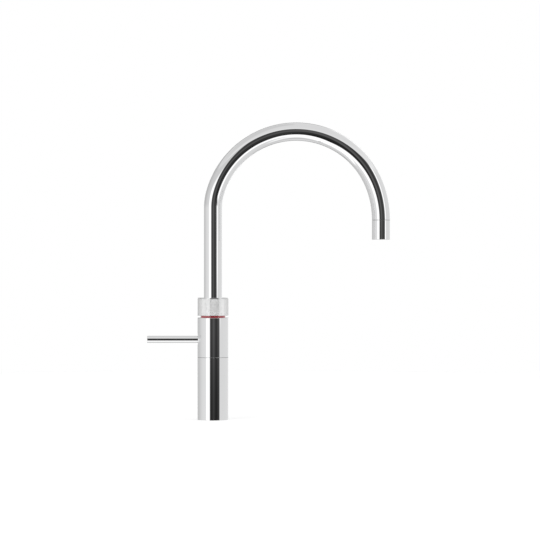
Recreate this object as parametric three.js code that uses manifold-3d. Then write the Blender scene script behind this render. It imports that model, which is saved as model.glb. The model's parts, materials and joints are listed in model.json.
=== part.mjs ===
// Boiling water tap: a swan-neck spout over a round body, with a mixer lever at the side
// and a knurled ring knob that is pushed down and turned for boiling water.
//
// Millimetres, +Z up. The origin lies on the tap's axis, in the plane of the worktop.
// The spout points along +X, the lever along -X, and the front looks along -Y.

import * as THREE from 'three';
import { mergeVertices } from 'three/addons/utils/BufferGeometryUtils.js';
import Module from 'manifold-3d';

const wasm = await Module();
wasm.setup();

// ---------------------------------------------------------------- driving dimensions

// Fits
const runningFit = 0.3; // radial gap of round pieces that turn or slide in each other
const seatGap = 0.3; // gap between a piece and the face that it rests on
const sealFit = 0.15; // gap round seals, pins and other pieces that don't move in their seats

// Overall
const spoutReach = 220.4; // tap axis to outlet axis
const outletHeight = 236.3; // worktop to the nozzle's mouth
const leverHeight = 105.3; // worktop to the lever's axis

// Neck pipe and its three bends
const pipeRadius = 11.9;
const pipeWall = 1.5;
const leadInRadius = 72;
const leadInAngle = THREE.MathUtils.degToRad(15.3);
const runOutRadius = 125.5;
const runOutAngle = THREE.MathUtils.degToRad(20);
const runOutStraight = 0.62; // between the last bend and the pipe's end

// Body
const bodyRadius = 20.3;
const bodyAboveLever = 28.4; // lever's axis to the body's top
const seamBelowLever = 23.5; // lever's axis to the seam between the two shells
const bodyJointGap = 0.3;
const bodyEdge = 0.5;
const lowerWall = 2.7;
const upperWall = 2.3;
const baseThickness = 6;
const topPlateThickness = 3.5;
const jointSpigotHeight = 4.2;
const jointSpigotWall = 1.4;
const jointSealWidth = 1.0;
const jointSealDepth = 0.9;

// Fixing below the worktop
const worktopThickness = 30;
const shankRadius = 14;
const shankBore = 11;
const shankLength = 58;
const gasketRadius = 17.7; // middle of the gasket's section
const gasketWidth = 1.8;
const gasketDepth = 1.5;
const clampRadius = 24;
const rubberWasherThickness = 3;
const clampWasherThickness = 2.5;
const nutAcrossFlats = 38;
const nutHeight = 9;

// Light ring between the body and the knob
const lightGap = 2.8;
const lightRingRadius = 16.2;
const lightRingWall = 1.5;
const lightRingInKnob = 4.5; // how far it reaches up inside the knob
const lightFlangeRadius = 17.5;
const lightFlangeThickness = 1.1;
const boardThickness = 1.0;

// Knob
const knobHeight = 23.3;
const knobRadius = 20.25;
const knobBore = 16.9;
const knobTravel = 2.2;
const knobTurn = 90; // degrees
const knurlDepth = 0.5;
const knurlAround = 30;
const knurlRows = 8;
const knurlRim = 0.9;
const knobCapThickness = 0.7;
const knobCapGroove = 0.4;
const knobCapEdge = 0.3;
const knobCapSkirt = 2.1;
const carrierWall = 1.1;
const carrierFlange = 1.7;
const carrierClearance = 0.8; // left above the light ring with the knob pushed down
const knobPipeGap = 0.4; // round the neck, which turns inside the knob

// Spout socket: the fixed tower that the spout turns in
const socketFlangeRadius = 17.4;
const socketFlangeThickness = 3.2;
const socketBore = 10.2;
const socketLowerRadius = 12.2;
const socketUpperRadius = 11.2;
const socketHeight = 21.4; // above its flange
const socketPort = 5;
const clipThickness = 1.2;
const clipGap = 2; // opening of the snap rings
const clipAboveBush = 0.9;
const clipSeatDepth = 0.7;
const sleeveClipThickness = 0.8;
const sleeveClipRadius = 12.6;
const sleeveClipSeatDepth = 0.45;

// Spout's spigot and what it turns on
const spigotRadius = 8.6;
const spigotBore = 5.8;
const spigotUpperBore = 6.4;
const spigotInPipe = 14;
const spigotCollar = 1.8;
const spigotCollarRadius = 11.6;
const bushWall = 1.0;
const bushLength = 5;
const bushFlange = 1.0;
const sealSection = 2.0;
const sealsAboveClip = [3.6, 7.2];
const spigotFootGap = 1;
const sealSeatDepth = 0.9;

// Boiling water's own way: valve, rising tube, swivel fitting and hose
const valveOffset = 13.5; // boiling valve's axis from the tap's axis
const valveBore = 2.0;
const plungerRadius = 1.0;
const plungerHead = 1.6;
const plungerHeadHeight = 2.0;
const plungerCone = 0.6;
const plungerTopAboveSocket = 3.4;
const seatRingHeight = 1.6;
const seatRingTopBelowDeck = 5; // below the manifold's top
const valveSpringLength = 8;
const valveSpringWire = 0.22;
const valveSpringCoils = 4;
const camDrop = 0.03; // plunger travel for each degree of knob turn
const camRoot = 1; // how far the ramp reaches up into the sleeve
const camOverrun = 8; // degrees of ramp past each end of the turn
const riserTubeRadius = 2.5;
const riserTubeBore = 1.5;
const riserTubeDepth = 4.2;
const riserTubeInFitting = 1;
const hoseRadius = 3.5;
const hoseBore = 2.7;
const barbRadius = 2.0;
const barbBore = 1.4;
const barbLength = 8;
const barbCone = 1.4; // height of the slope at a barb's foot
const fittingThickness = 3;
const fittingSeatRise = 1.6; // its seat above the spigot's collar
const fittingSkirt = 3;
const fittingBossWall = 1.4;
const fittingPort = 1.5;
const fittingNotchWidth = 3;

// Valve drive sleeve
const sleeveWall = 1.8;
const sleeveRimAboveSocket = 4.3;
const sleeveTopBelowSocket = 1.6;
const splineCount = 12;
const splineDepth = 0.8;
const splineRise = 1; // splines start this far above the light ring
const splineShare = 0.4; // part of its pitch that each spline fills
const returnSpringRadius = 13.6;
const returnSpringWire = 0.6;
const returnSpringCoils = 2;

// Nozzle
const nozzleHeight = 25.2;
const nozzleSeamGap = 0.4;
const nozzleSealThickness = 0.3;
const nozzleBore = 10.2;
const nozzleLip = 1.2;
const nozzleMouth = 9.2;
const nozzleEdge = 0.4;
const joinerWall = 1.2;
const joinerInPipe = 3;
const joinerInNozzle = 10;
const insertWall = 1.2;
const insertHeight = 10;
const insertFloor = 3;
const insertHoles = 8;
const insertHoleRadius = 1.1;
const insertHoleCircle = 6;

// Manifold
const manifoldRadius = 17.6;
const cartridgeBore = 11;
const cartridgeBoreDepth = 9.3; // how far the bore passes the tap's axis
const inletX = 12.3;
const inletY = 5;
const inletRadius = 2.3;
const valveLinkBelowTop = 2.6; // the way from the boiling valve to the rising tube
const valveLinkRadius = 1.1;
const outletRise = 4.2; // mixed water leaves the cartridge this far above its axis
const outletRadius = 2.2;
const crossPort = 1.8;
const nippleCollar = 2.6;
const nippleCollarHeight = 2;
const nippleBore = 1.0;
const nippleLength = 8;
const nippleInPort = 7;

// Mixer cartridge, its axis along X
const cartridgeWall = 0.8;
const turretFace = -5.6; // outer face of the turret's floor
const turretFloor = 2;
const turretRadius = 9.6;
const turretLip = 1.0;
const earInner = 3.0;
const earThickness = 1.4;
const earHalfWidth = 2.0;
const carrierDiscThickness = 3.6;
const discRadius = 7.5;
const discOffset = 1.9; // the moving disc sits this far above the axis when shut
const movingDiscThickness = 2.4;
const movingDiscPocket = 4;
const fixedDiscThickness = 2.2;
const fixedDiscRadius = 9.6;
const cartridgeBaseThickness = 3.2;
const cartridgeNutThickness = 2;
const cartridgeNutBore = 8;

// Lever
const leverTip = 86.3; // tip of the rod from the tap's axis
const leverRadius = 4.55;
const leverEdge = 0.35;
const leverLift = 18; // degrees
const domeDepth = 6.3; // centre of the dome inside the body's surface
const domeRadius = 8;
const domeInnerRadius = 5.6;
const domeRimAngle = THREE.MathUtils.degToRad(82);
const domeFlatInset = 0.7; // the dome's flat lies this far inside the body's surface
const domeClearance = 0.4;
const leverOpening = 7.4;
const stemRadius = 1.5;
const stemTip = 1.8;
const stemSlotFit = 0.2;
const stemLength = 12.2; // pivot to the middle of the stem's tip
const pivotPinRadius = 1.0;
const studRadius = 1.7;
const studInRod = 9;
const studInStem = 2.1;
const rodGap = 0.05; // between the rod and the dome's flat
const bossOverlap = 0.2; // the boss stops this far inside the dome

// Facets
const bodySides = 24;
const middleSides = 18;
const smallSides = 12;
const sealSides = 16;
const sealSectionSides = 5;
const tinySides = 8;
const pipeSides = 18;
const pipeBoreSides = 16;
const pipeSteps = 32;
const hoseSides = 8;
const hoseBoreSides = 6;
const hoseSteps = 22;
const springSides = 4;
const returnSpringSteps = 16; // for each coil
const valveSpringSteps = 8; // for each coil
const camSteps = 10;
const domeSides = 20;
const holeSides = 6;

// ---------------------------------------------------------------- derived places

const bodyTop = leverHeight + bodyAboveLever;
const bodyJointHeight = leverHeight - seamBelowLever;
const knobBottom = bodyTop + lightGap;
const knobTop = knobBottom + knobHeight;
const lightRingTop = knobBottom + lightRingInKnob;
const topPlateUnderside = bodyTop - topPlateThickness;
const lightFlangeTop = topPlateUnderside - seatGap;
const boardTop = lightFlangeTop - lightFlangeThickness - seatGap;
const socketFlangeTop = boardTop - boardThickness - seatGap;
const socketBottom = socketFlangeTop - socketFlangeThickness;
const socketTop = socketFlangeTop + socketHeight;
const manifoldTop = socketBottom - seatGap;
const jointSpigotTop = bodyJointHeight + jointSpigotHeight;
const manifoldBottom = jointSpigotTop + seatGap;
const bodyBore = bodyRadius - upperWall;

const pipeBore = pipeRadius - pipeWall;
const mainBendRadius =
  (spoutReach - leadInRadius * (1 - Math.cos(leadInAngle)) - runOutRadius * (1 - Math.cos(runOutAngle)))
  / (Math.cos(leadInAngle) + Math.cos(runOutAngle));
const nozzleTop = outletHeight + nozzleHeight;
const pipeEnd = nozzleTop + nozzleSeamGap;
const runOutHeight = pipeEnd + runOutStraight;
const mainBendHeight = runOutHeight + (runOutRadius - mainBendRadius) * Math.sin(runOutAngle);
const mainBendX = leadInRadius * (1 - Math.cos(leadInAngle)) + mainBendRadius * Math.cos(leadInAngle);
const leadInHeight = mainBendHeight + (mainBendRadius - leadInRadius) * Math.sin(leadInAngle);

const upperBushTop = socketTop + seatGap + bushFlange;
const collarBottom = upperBushTop + seatGap;
const collarTop = collarBottom + spigotCollar;
const pipeBottom = collarTop + seatGap;
const lowerBushBottom = socketFlangeTop + seatGap;
const lowerBushTop = lowerBushBottom + bushLength;
const clipBottom = lowerBushTop + clipAboveBush;
const clipTop = clipBottom + clipThickness;
const sealHeights = sealsAboveClip.map((rise) => (clipBottom + clipTop) / 2 + rise);
const spigotBottom = socketFlangeTop + spigotFootGap;
const fittingSeat = collarTop + fittingSeatRise;
const fittingBottom = fittingSeat + seatGap;
const fittingTop = fittingBottom + fittingThickness;

const insertBottom = outletHeight + nozzleLip + seatGap;
const insertFloorTop = insertBottom + insertFloor;

const sleeveTop = socketTop - sleeveTopBelowSocket;
const sleeveStep = lightRingTop; // the sleeve hangs on the socket's step at this height
const sleeveRim = socketFlangeTop + sleeveRimAboveSocket;
const sleeveLowerBore = socketLowerRadius + runningFit;
const sleeveUpperBore = socketUpperRadius + runningFit;
const sleeveRadius = sleeveLowerBore + sleeveWall;
const plungerTop = socketFlangeTop + plungerTopAboveSocket;

const carrierBottom = lightRingTop + knobTravel + carrierClearance;
const knobCapBottom = knobTop - knobCapThickness;
const knobRingTop = knobCapBottom - knobCapGroove;
const knobSkirtBottom = knobCapBottom - knobCapSkirt;
const carrierTop = knobSkirtBottom - seatGap;
const knobPipeBore = pipeRadius + knobPipeGap;

const leverPivotX = -(bodyRadius - domeDepth);
const domeFlatX = -(bodyRadius - domeFlatInset);

// ---------------------------------------------------------------- geometry helpers

// Six times the volume inside a mesh, negative where its faces point inwards.
function signedVolume(positions, faces) {
  const corner = (i) => new THREE.Vector3().fromArray(positions, 3 * faces[i]);
  let sum = 0;
  for (let i = 0; i < faces.length; i += 3) sum += corner(i).dot(corner(i + 1).cross(corner(i + 2)));
  return sum;
}

// Shared vertices are merged, triangles that have closed up to a line are left out, and
// the faces are turned to point outwards.
function welded(geometry) {
  const bare = geometry.clone();
  bare.deleteAttribute('normal');
  bare.deleteAttribute('uv');
  const merged = mergeVertices(bare);
  const old = merged.index.array;
  const kept = [];
  for (let i = 0; i < old.length; i += 3) {
    const [a, b, c] = [old[i], old[i + 1], old[i + 2]];
    if (a !== b && b !== c && c !== a) kept.push(a, b, c);
  }
  const inward = signedVolume(merged.attributes.position.array, kept) < 0;
  merged.setIndex(inward ? kept.reverse() : kept);
  merged.computeVertexNormals();
  return merged;
}

function solidOf(geometry) {
  const clean = welded(geometry);
  const vertProperties = Float32Array.from(clean.attributes.position.array);
  const triVerts = Uint32Array.from(clean.index.array);
  return new wasm.Manifold(new wasm.Mesh({ numProp: 3, vertProperties, triVerts }));
}

function geometryOf(solid) {
  const mesh = solid.getMesh();
  const geometry = new THREE.BufferGeometry();
  geometry.setAttribute('position', new THREE.BufferAttribute(mesh.vertProperties, 3));
  geometry.setIndex(new THREE.BufferAttribute(mesh.triVerts, 1));
  geometry.computeVertexNormals();
  return geometry;
}

function cut(geometry, ...tools) {
  return geometryOf(tools.reduce((solid, tool) => solid.subtract(solidOf(tool)), solidOf(geometry)));
}

function joined(geometry, ...others) {
  return geometryOf(others.reduce((solid, other) => solid.add(solidOf(other)), solidOf(geometry)));
}

// A solid turned about Z. The outline's [radius, height] points run up its outer side.
function turned(outline, sides) {
  const points = outline.map(([radius, height]) => new THREE.Vector2(radius, height));
  const onAxis = points[0].x === 0 && points[points.length - 1].x === 0;
  if (!onAxis) points.push(points[0].clone());
  return welded(new THREE.LatheGeometry(points, sides).rotateX(Math.PI / 2));
}

// A solid turned about X. The outline's [radius, x] points run towards +X on its outer side.
function turnedOnX(outline, sides) {
  return turned(outline, sides).rotateY(Math.PI / 2);
}

// A plain ring between two radii and two heights.
function ring(inner, outer, bottom, top, sides) {
  return turned([[inner, bottom], [outer, bottom], [outer, top], [inner, top]], sides);
}

// A round bar between two points.
function bar(radius, from, to, sides) {
  const start = new THREE.Vector3(...from);
  const end = new THREE.Vector3(...to);
  const along = end.clone().sub(start);
  const geometry = new THREE.CylinderGeometry(radius, radius, along.length(), sides);
  const upright = new THREE.Vector3(0, 1, 0);
  const turn = new THREE.Quaternion().setFromUnitVectors(upright, along.clone().normalize());
  const middle = start.add(end).multiplyScalar(0.5);
  return geometry.applyQuaternion(turn).translate(middle.x, middle.y, middle.z);
}

function block(sizeX, sizeY, sizeZ, x, y, z) {
  return new THREE.BoxGeometry(sizeX, sizeY, sizeZ).translate(x, y, z);
}

function circle(radius, sides) {
  return Array.from({ length: sides }, (_, i) => {
    const angle = (2 * Math.PI * i) / sides;
    return new THREE.Vector2(radius * Math.cos(angle), radius * Math.sin(angle));
  });
}

function extruded(shape, bottom, height) {
  const geometry = new THREE.ExtrudeGeometry(shape, { depth: height, bevelEnabled: false });
  return welded(geometry.translate(0, 0, bottom));
}

function swept(outline, holes, path, steps) {
  const shape = new THREE.Shape(outline);
  shape.holes = holes.map((hole) => new THREE.Path(hole));
  return welded(new THREE.ExtrudeGeometry(shape, { extrudePath: path, steps, bevelEnabled: false }));
}

// A bend in the X-Z plane about a centre, from one angle to another.
class Bend extends THREE.Curve {
  constructor(centreX, centreZ, radius, fromAngle, toAngle) {
    super();
    Object.assign(this, { centreX, centreZ, radius, fromAngle, toAngle });
  }

  getPoint(t, target = new THREE.Vector3()) {
    const angle = this.fromAngle + (this.toAngle - this.fromAngle) * t;
    const x = this.centreX + this.radius * Math.cos(angle);
    const z = this.centreZ + this.radius * Math.sin(angle);
    return target.set(x, 0, z);
  }
}

// A helix about a vertical axis, from its lower end to its upper end.
class Helix extends THREE.Curve {
  constructor(x, y, radius, bottom, top, turns) {
    super();
    Object.assign(this, { x, y, radius, bottom, top, turns });
  }

  getPoint(t, target = new THREE.Vector3()) {
    const angle = 2 * Math.PI * this.turns * t;
    const height = this.bottom + (this.top - this.bottom) * t;
    return target.set(this.x + this.radius * Math.cos(angle), this.y + this.radius * Math.sin(angle), height);
  }
}

// The neck's centreline: up the riser, round the three bends and down to the nozzle.
function neckPath(startHeight, endHeight) {
  const path = new THREE.CurvePath();
  const upright = Math.PI;
  const leadInEnd = upright - leadInAngle;
  const mainEnd = runOutAngle;
  path.add(new THREE.LineCurve3(new THREE.Vector3(0, 0, startHeight), new THREE.Vector3(0, 0, leadInHeight)));
  path.add(new Bend(leadInRadius, leadInHeight, leadInRadius, upright, leadInEnd));
  path.add(new Bend(mainBendX, mainBendHeight, mainBendRadius, leadInEnd, mainEnd));
  path.add(new Bend(spoutReach - runOutRadius, runOutHeight, runOutRadius, mainEnd, 0));
  const mouth = new THREE.Vector3(spoutReach, 0, endHeight);
  path.add(new THREE.LineCurve3(new THREE.Vector3(spoutReach, 0, runOutHeight), mouth));
  return path;
}

function coilSpring(x, y, radius, wire, bottom, top, coils, stepsPerCoil) {
  const path = new Helix(x, y, radius, bottom + wire, top - wire, coils);
  return swept(circle(wire, springSides), [], path, coils * stepsPerCoil);
}

// A snap ring: a flat ring with a gap at +X.
function snapRing(inner, outer, bottom, thickness, sides) {
  const start = Math.asin(clipGap / 2 / outer);
  const angles = Array.from({ length: sides + 1 }, (_, i) => start + ((2 * Math.PI - 2 * start) * i) / sides);
  const at = (radius) => (angle) => new THREE.Vector2(radius * Math.cos(angle), radius * Math.sin(angle));
  const outline = [...angles.map(at(outer)), ...angles.reverse().map(at(inner))];
  return extruded(new THREE.Shape(outline), bottom, thickness);
}

// The outline of a round with square teeth that stand out, or in where the depth is negative.
function toothed(radius, depth, count, share, turn) {
  const pitch = (2 * Math.PI) / count;
  const points = [];
  for (let i = 0; i < count; i += 1) {
    const middle = turn + i * pitch;
    const half = (share * pitch) / 2;
    const corners = [[-half, radius], [-half, radius + depth], [half, radius + depth], [half, radius]];
    for (const [offset, r] of corners) {
      points.push(new THREE.Vector2(r * Math.cos(middle + offset), r * Math.sin(middle + offset)));
    }
  }
  return points;
}

// A ring whose outer side is a band of diamond-shaped points between two plain rims.
function knurledRing(bore, radius, depth, bottom, top, rim, around, rows) {
  const columns = 2 * around;
  const bandBottom = bottom + rim;
  const bandTop = top - rim;
  const levels = [[bore, bottom], [radius, bottom], [radius, bandBottom]];
  for (let row = 0; row <= rows; row += 1) {
    levels.push([radius - depth, bandBottom + ((bandTop - bandBottom) * row) / rows, row]);
  }
  levels.push([radius, bandTop], [radius, top], [bore, top]);
  const positions = [];
  for (const [levelRadius, height, row] of levels) {
    const inBand = row > 0 && row < rows;
    for (let column = 0; column < columns; column += 1) {
      const point = inBand && (row + column) % 2 === 1;
      const r = point ? radius : levelRadius;
      const angle = (2 * Math.PI * column) / columns;
      positions.push(r * Math.cos(angle), r * Math.sin(angle), height);
    }
  }
  const faces = [];
  for (let level = 0; level < levels.length; level += 1) {
    const row = levels[level][2] ?? 0;
    const above = (level + 1) % levels.length;
    for (let column = 0; column < columns; column += 1) {
      const next = (column + 1) % columns;
      const a = level * columns + column;
      const b = level * columns + next;
      const c = above * columns + next;
      const d = above * columns + column;
      if ((row + column) % 2 === 0) faces.push(a, b, c, a, c, d);
      else faces.push(a, b, d, b, c, d);
    }
  }
  const geometry = new THREE.BufferGeometry();
  geometry.setAttribute('position', new THREE.Float32BufferAttribute(positions, 3));
  geometry.setIndex(faces);
  return welded(geometry);
}

// A helical ramp under a ring: its lower face falls steadily from one angle to the other.
function ramp(inner, outer, top, fromAngle, toAngle, heightAt, steps) {
  const positions = [];
  for (let i = 0; i <= steps; i += 1) {
    const angle = fromAngle + ((toAngle - fromAngle) * i) / steps;
    const low = heightAt(angle);
    for (const [r, z] of [[inner, low], [outer, low], [outer, top], [inner, top]]) {
      positions.push(r * Math.cos(angle), r * Math.sin(angle), z);
    }
  }
  const faces = [0, 1, 2, 0, 2, 3];
  for (let i = 0; i < steps; i += 1) {
    for (let side = 0; side < 4; side += 1) {
      const a = 4 * i + side;
      const b = 4 * i + ((side + 1) % 4);
      faces.push(a, a + 4, b, b, a + 4, b + 4);
    }
  }
  const last = 4 * steps;
  faces.push(last, last + 2, last + 1, last, last + 3, last + 2);
  const geometry = new THREE.BufferGeometry();
  geometry.setAttribute('position', new THREE.Float32BufferAttribute(positions, 3));
  geometry.setIndex(faces);
  return welded(geometry);
}

// ---------------------------------------------------------------- finishes

const chrome = () => new THREE.MeshStandardMaterial({ color: 0xd9dbdd, roughness: 0.05, metalness: 1 });
const brass = () => new THREE.MeshStandardMaterial({ color: 0xb99a56, roughness: 0.35, metalness: 1 });
const steel = () => new THREE.MeshStandardMaterial({ color: 0xa9abae, roughness: 0.3, metalness: 1 });
const rubber = () => new THREE.MeshStandardMaterial({ color: 0x1b1b1c, roughness: 0.8, metalness: 0 });
const darkPlastic = () => new THREE.MeshStandardMaterial({ color: 0x2a2b2d, roughness: 0.5, metalness: 0 });
const palePlastic = () => new THREE.MeshStandardMaterial({ color: 0xd8d6cf, roughness: 0.45, metalness: 0 });
const redPlastic = () => new THREE.MeshStandardMaterial({ color: 0x8e0d12, roughness: 0.3, metalness: 0 });
const ceramic = () => new THREE.MeshStandardMaterial({ color: 0xf1efe9, roughness: 0.15, metalness: 0 });
const circuitGreen = () => new THREE.MeshStandardMaterial({ color: 0x1f4d33, roughness: 0.5, metalness: 0 });
const siliconeHose = () => new THREE.MeshStandardMaterial({ color: 0xbfc3c4, roughness: 0.6, metalness: 0 });

const tap = new THREE.Group();

function piece(parent, name, geometry, material) {
  const mesh = new THREE.Mesh(geometry, material);
  mesh.name = name;
  parent.add(mesh);
  return mesh;
}

// ---------------------------------------------------------------- body and deck fixing

const jointLower = bodyJointHeight - bodyJointGap / 2;
const jointUpper = bodyJointHeight + bodyJointGap / 2;
const jointSpigotRadius = bodyBore - runningFit;
const shankHole = shankRadius + runningFit;

function lowerBodyShell() {
  const gasketInner = gasketRadius - gasketWidth / 2 - sealFit;
  const gasketOuter = gasketRadius + gasketWidth / 2 + sealFit;
  const gasketRoof = gasketDepth + sealFit;
  const sealOuter = jointSpigotRadius + jointSealWidth + 2 * sealFit;
  const sealFloor = jointLower - jointSealDepth;
  const boreRadius = bodyRadius - lowerWall;
  const neckRadius = jointSpigotRadius - jointSpigotWall;
  const neckBottom = bodyJointHeight - jointSpigotHeight;
  return turned([
    [shankHole, 0], [gasketInner, 0], [gasketInner, gasketRoof], [gasketOuter, gasketRoof], [gasketOuter, 0],
    [bodyRadius - bodyEdge, 0], [bodyRadius, bodyEdge], [bodyRadius, jointLower],
    [sealOuter, jointLower], [sealOuter, sealFloor], [jointSpigotRadius, sealFloor],
    [jointSpigotRadius, jointSpigotTop], [neckRadius, jointSpigotTop], [neckRadius, neckBottom],
    [boreRadius, neckBottom - jointSpigotHeight], [boreRadius, baseThickness], [shankHole, baseThickness],
  ], bodySides);
}

function upperBodyShell() {
  const lightHole = lightRingRadius + runningFit;
  const shell = turned([
    [bodyBore, jointUpper], [bodyRadius, jointUpper], [bodyRadius, bodyTop - bodyEdge],
    [bodyRadius - bodyEdge, bodyTop], [lightHole, bodyTop], [lightHole, topPlateUnderside],
    [bodyBore, topPlateUnderside],
  ], bodySides);
  const opening = bar(
    leverOpening,
    [-2 * bodyRadius, 0, leverHeight],
    [leverPivotX, 0, leverHeight],
    middleSides,
  );
  const domeSeat = new THREE.SphereGeometry(domeRadius + domeClearance, domeSides, domeSides / 2);
  return cut(shell, opening, domeSeat.translate(leverPivotX, 0, leverHeight));
}

function backNut(top) {
  const nut = new THREE.Shape(circle(nutAcrossFlats / 2 / Math.cos(Math.PI / 6), 6));
  nut.holes.push(new THREE.Path(circle(shankHole, middleSides)));
  return extruded(nut, top - nutHeight, nutHeight);
}

function sealRing(middleRadius, height) {
  const section = circle(sealSection / 2, sealSectionSides).map(({ x, y }) => [middleRadius + x, height + y]);
  return turned(section, sealSides);
}

const washerHole = shankRadius + 2 * runningFit;
const rubberTop = -worktopThickness;
const rubberBottom = rubberTop - rubberWasherThickness;
const clampTop = rubberBottom - seatGap;
const clampBottom = clampTop - clampWasherThickness;
const jointSealInner = jointSpigotRadius + sealFit;
const jointSealBottom = jointLower - jointSealDepth + sealFit;

piece(tap, 'lower_body_shell', lowerBodyShell(), chrome());
piece(tap, 'upper_body_shell', upperBodyShell(), chrome());
piece(tap, 'body_joint_seal', ring(
  jointSealInner, jointSealInner + jointSealWidth, jointSealBottom, jointUpper - sealFit, bodySides,
), rubber());
piece(tap, 'base_gasket', ring(
  gasketRadius - gasketWidth / 2, gasketRadius + gasketWidth / 2, 0, gasketDepth, bodySides,
), rubber());
piece(tap, 'threaded_shank', ring(shankBore, shankRadius, -shankLength, baseThickness, middleSides), brass());
piece(tap, 'rubber_washer', ring(washerHole, clampRadius, rubberBottom, rubberTop, middleSides), rubber());
piece(tap, 'clamp_washer', ring(washerHole, clampRadius, clampBottom, clampTop, middleSides), steel());
piece(tap, 'back_nut', backNut(clampBottom - seatGap), brass());

// ---------------------------------------------------------------- water ways in the body

const seatRingTop = manifoldTop - seatRingTopBelowDeck;
const seatRingBottom = seatRingTop - seatRingHeight;
const plungerHeadTop = seatRingBottom - seatGap;
const plungerBottom = plungerHeadTop - plungerHeadHeight;
const valveSpringTop = plungerBottom - sealFit;
const valveSpringBottom = valveSpringTop - valveSpringLength;
const boilingInletTop = valveSpringBottom - sealFit;

function valveManifold() {
  const overrun = 1;
  const above = manifoldTop + overrun;
  const below = manifoldBottom - overrun;
  const boreBack = cartridgeBoreDepth - overrun;
  const mixedHeight = leverHeight + outletRise;
  const linkHeight = manifoldTop - valveLinkBelowTop;
  const blank = turned([
    [0, manifoldBottom], [manifoldRadius, manifoldBottom], [manifoldRadius, manifoldTop], [0, manifoldTop],
  ], bodySides);
  const inlets = [-inletY, inletY].flatMap((y) => [
    bar(inletRadius, [inletX, y, below], [inletX, y, leverHeight + crossPort], tinySides),
    bar(crossPort, [boreBack, y, leverHeight], [inletX, y, leverHeight], tinySides),
  ]);
  return cut(
    blank,
    bar(
      cartridgeBore,
      [-2 * manifoldRadius, 0, leverHeight],
      [cartridgeBoreDepth, 0, leverHeight],
      middleSides,
    ),
    ...inlets,
    bar(crossPort, [boreBack, 0, mixedHeight], [inletX, 0, mixedHeight], tinySides),
    bar(outletRadius, [inletX, 0, mixedHeight - crossPort], [inletX, 0, above], tinySides),
    bar(valveBore, [0, valveOffset, below], [0, valveOffset, seatRingTop + sealFit], tinySides),
    bar(plungerRadius + runningFit, [0, valveOffset, seatRingTop], [0, valveOffset, above], tinySides),
    bar(valveLinkRadius, [0, valveOffset, linkHeight], [0, 0, linkHeight], tinySides),
    bar(riserTubeRadius + runningFit, [0, 0, manifoldTop - riserTubeDepth], [0, 0, above], tinySides),
  );
}

// A short inlet pipe pressed up into the manifold, its collar under the manifold's face.
function inletNipple(portRadius, depth) {
  const inside = portRadius - runningFit;
  return turned([
    [nippleBore, -nippleLength], [inside, -nippleLength], [inside, -nippleCollarHeight],
    [nippleCollar, -nippleCollarHeight], [nippleCollar, 0], [inside, 0], [inside, depth], [nippleBore, depth],
  ], tinySides);
}

function spoutSocket() {
  const clipSeatBottom = clipBottom - seatGap;
  const clipSeatTop = clipTop + seatGap;
  const clipSeatRadius = socketBore + clipSeatDepth;
  const grooveRadius = socketUpperRadius - sleeveClipSeatDepth;
  const grooveBottom = sleeveTop + seatGap - sealFit;
  const grooveTop = sleeveTop + seatGap + sleeveClipThickness + sealFit;
  const body = turned([
    [socketPort, socketBottom], [socketFlangeRadius, socketBottom], [socketFlangeRadius, socketFlangeTop],
    [socketLowerRadius, socketFlangeTop], [socketLowerRadius, sleeveStep], [socketUpperRadius, sleeveStep],
    [socketUpperRadius, grooveBottom], [grooveRadius, grooveBottom], [grooveRadius, grooveTop],
    [socketUpperRadius, grooveTop], [socketUpperRadius, socketTop], [socketBore, socketTop],
    [socketBore, clipSeatTop], [clipSeatRadius, clipSeatTop], [clipSeatRadius, clipSeatBottom],
    [socketBore, clipSeatBottom], [socketBore, socketFlangeTop], [socketPort, socketFlangeTop],
  ], middleSides);
  const plungerHole = bar(
    plungerRadius + runningFit,
    [0, valveOffset, socketBottom - 1],
    [0, valveOffset, socketFlangeTop + 1],
    tinySides,
  );
  const channelHeight = socketFlangeThickness / 2;
  const channelLength = inletX + outletRadius;
  const channel = block(
    channelLength, 2 * outletRadius, channelHeight,
    channelLength / 2, 0, socketBottom + channelHeight / 2 - sealFit,
  );
  return cut(body, plungerHole, channel);
}

function boilingPlunger() {
  const dome = [45, 0].map((degrees) => {
    const angle = THREE.MathUtils.degToRad(degrees);
    return [plungerRadius * Math.sin(angle), plungerTop - plungerRadius * (1 - Math.cos(angle))];
  });
  return turned([
    [0, plungerBottom], [plungerHead, plungerBottom], [plungerHead, plungerHeadTop - plungerCone],
    [plungerRadius, plungerHeadTop], [plungerRadius, plungerTop - plungerRadius], ...dome,
  ], tinySides);
}

piece(tap, 'valve_manifold', valveManifold(), brass());
const nippleSeat = manifoldBottom - seatGap;
const coldNipple = piece(tap, 'cold_inlet_nipple', inletNipple(inletRadius, nippleInPort), brass());
coldNipple.position.set(inletX, -inletY, nippleSeat);
const hotNipple = piece(tap, 'hot_inlet_nipple', inletNipple(inletRadius, nippleInPort), brass());
hotNipple.position.set(inletX, inletY, nippleSeat);
const boilingNipple = piece(
  tap, 'boiling_inlet_nipple', inletNipple(valveBore, boilingInletTop - nippleSeat), brass(),
);
boilingNipple.position.set(0, valveOffset, nippleSeat);

const seatRing = piece(
  tap, 'boiling_valve_seat',
  ring(plungerRadius + runningFit, valveBore - sealFit, seatRingBottom, seatRingTop, tinySides), ceramic(),
);
seatRing.position.set(0, valveOffset, 0);
const plunger = piece(tap, 'boiling_valve_plunger', boilingPlunger(), steel());
plunger.position.set(0, valveOffset, 0);
piece(tap, 'boiling_valve_spring', coilSpring(
  0, valveOffset, plungerRadius + valveSpringWire, valveSpringWire,
  valveSpringBottom, valveSpringTop, valveSpringCoils, valveSpringSteps,
), steel());

piece(tap, 'spout_socket', spoutSocket(), brass());
piece(tap, 'boiling_riser_tube', ring(
  riserTubeBore, riserTubeRadius,
  manifoldTop - riserTubeDepth + seatGap, fittingBottom + riserTubeInFitting, tinySides,
), steel());

// ---------------------------------------------------------------- light ring

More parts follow.
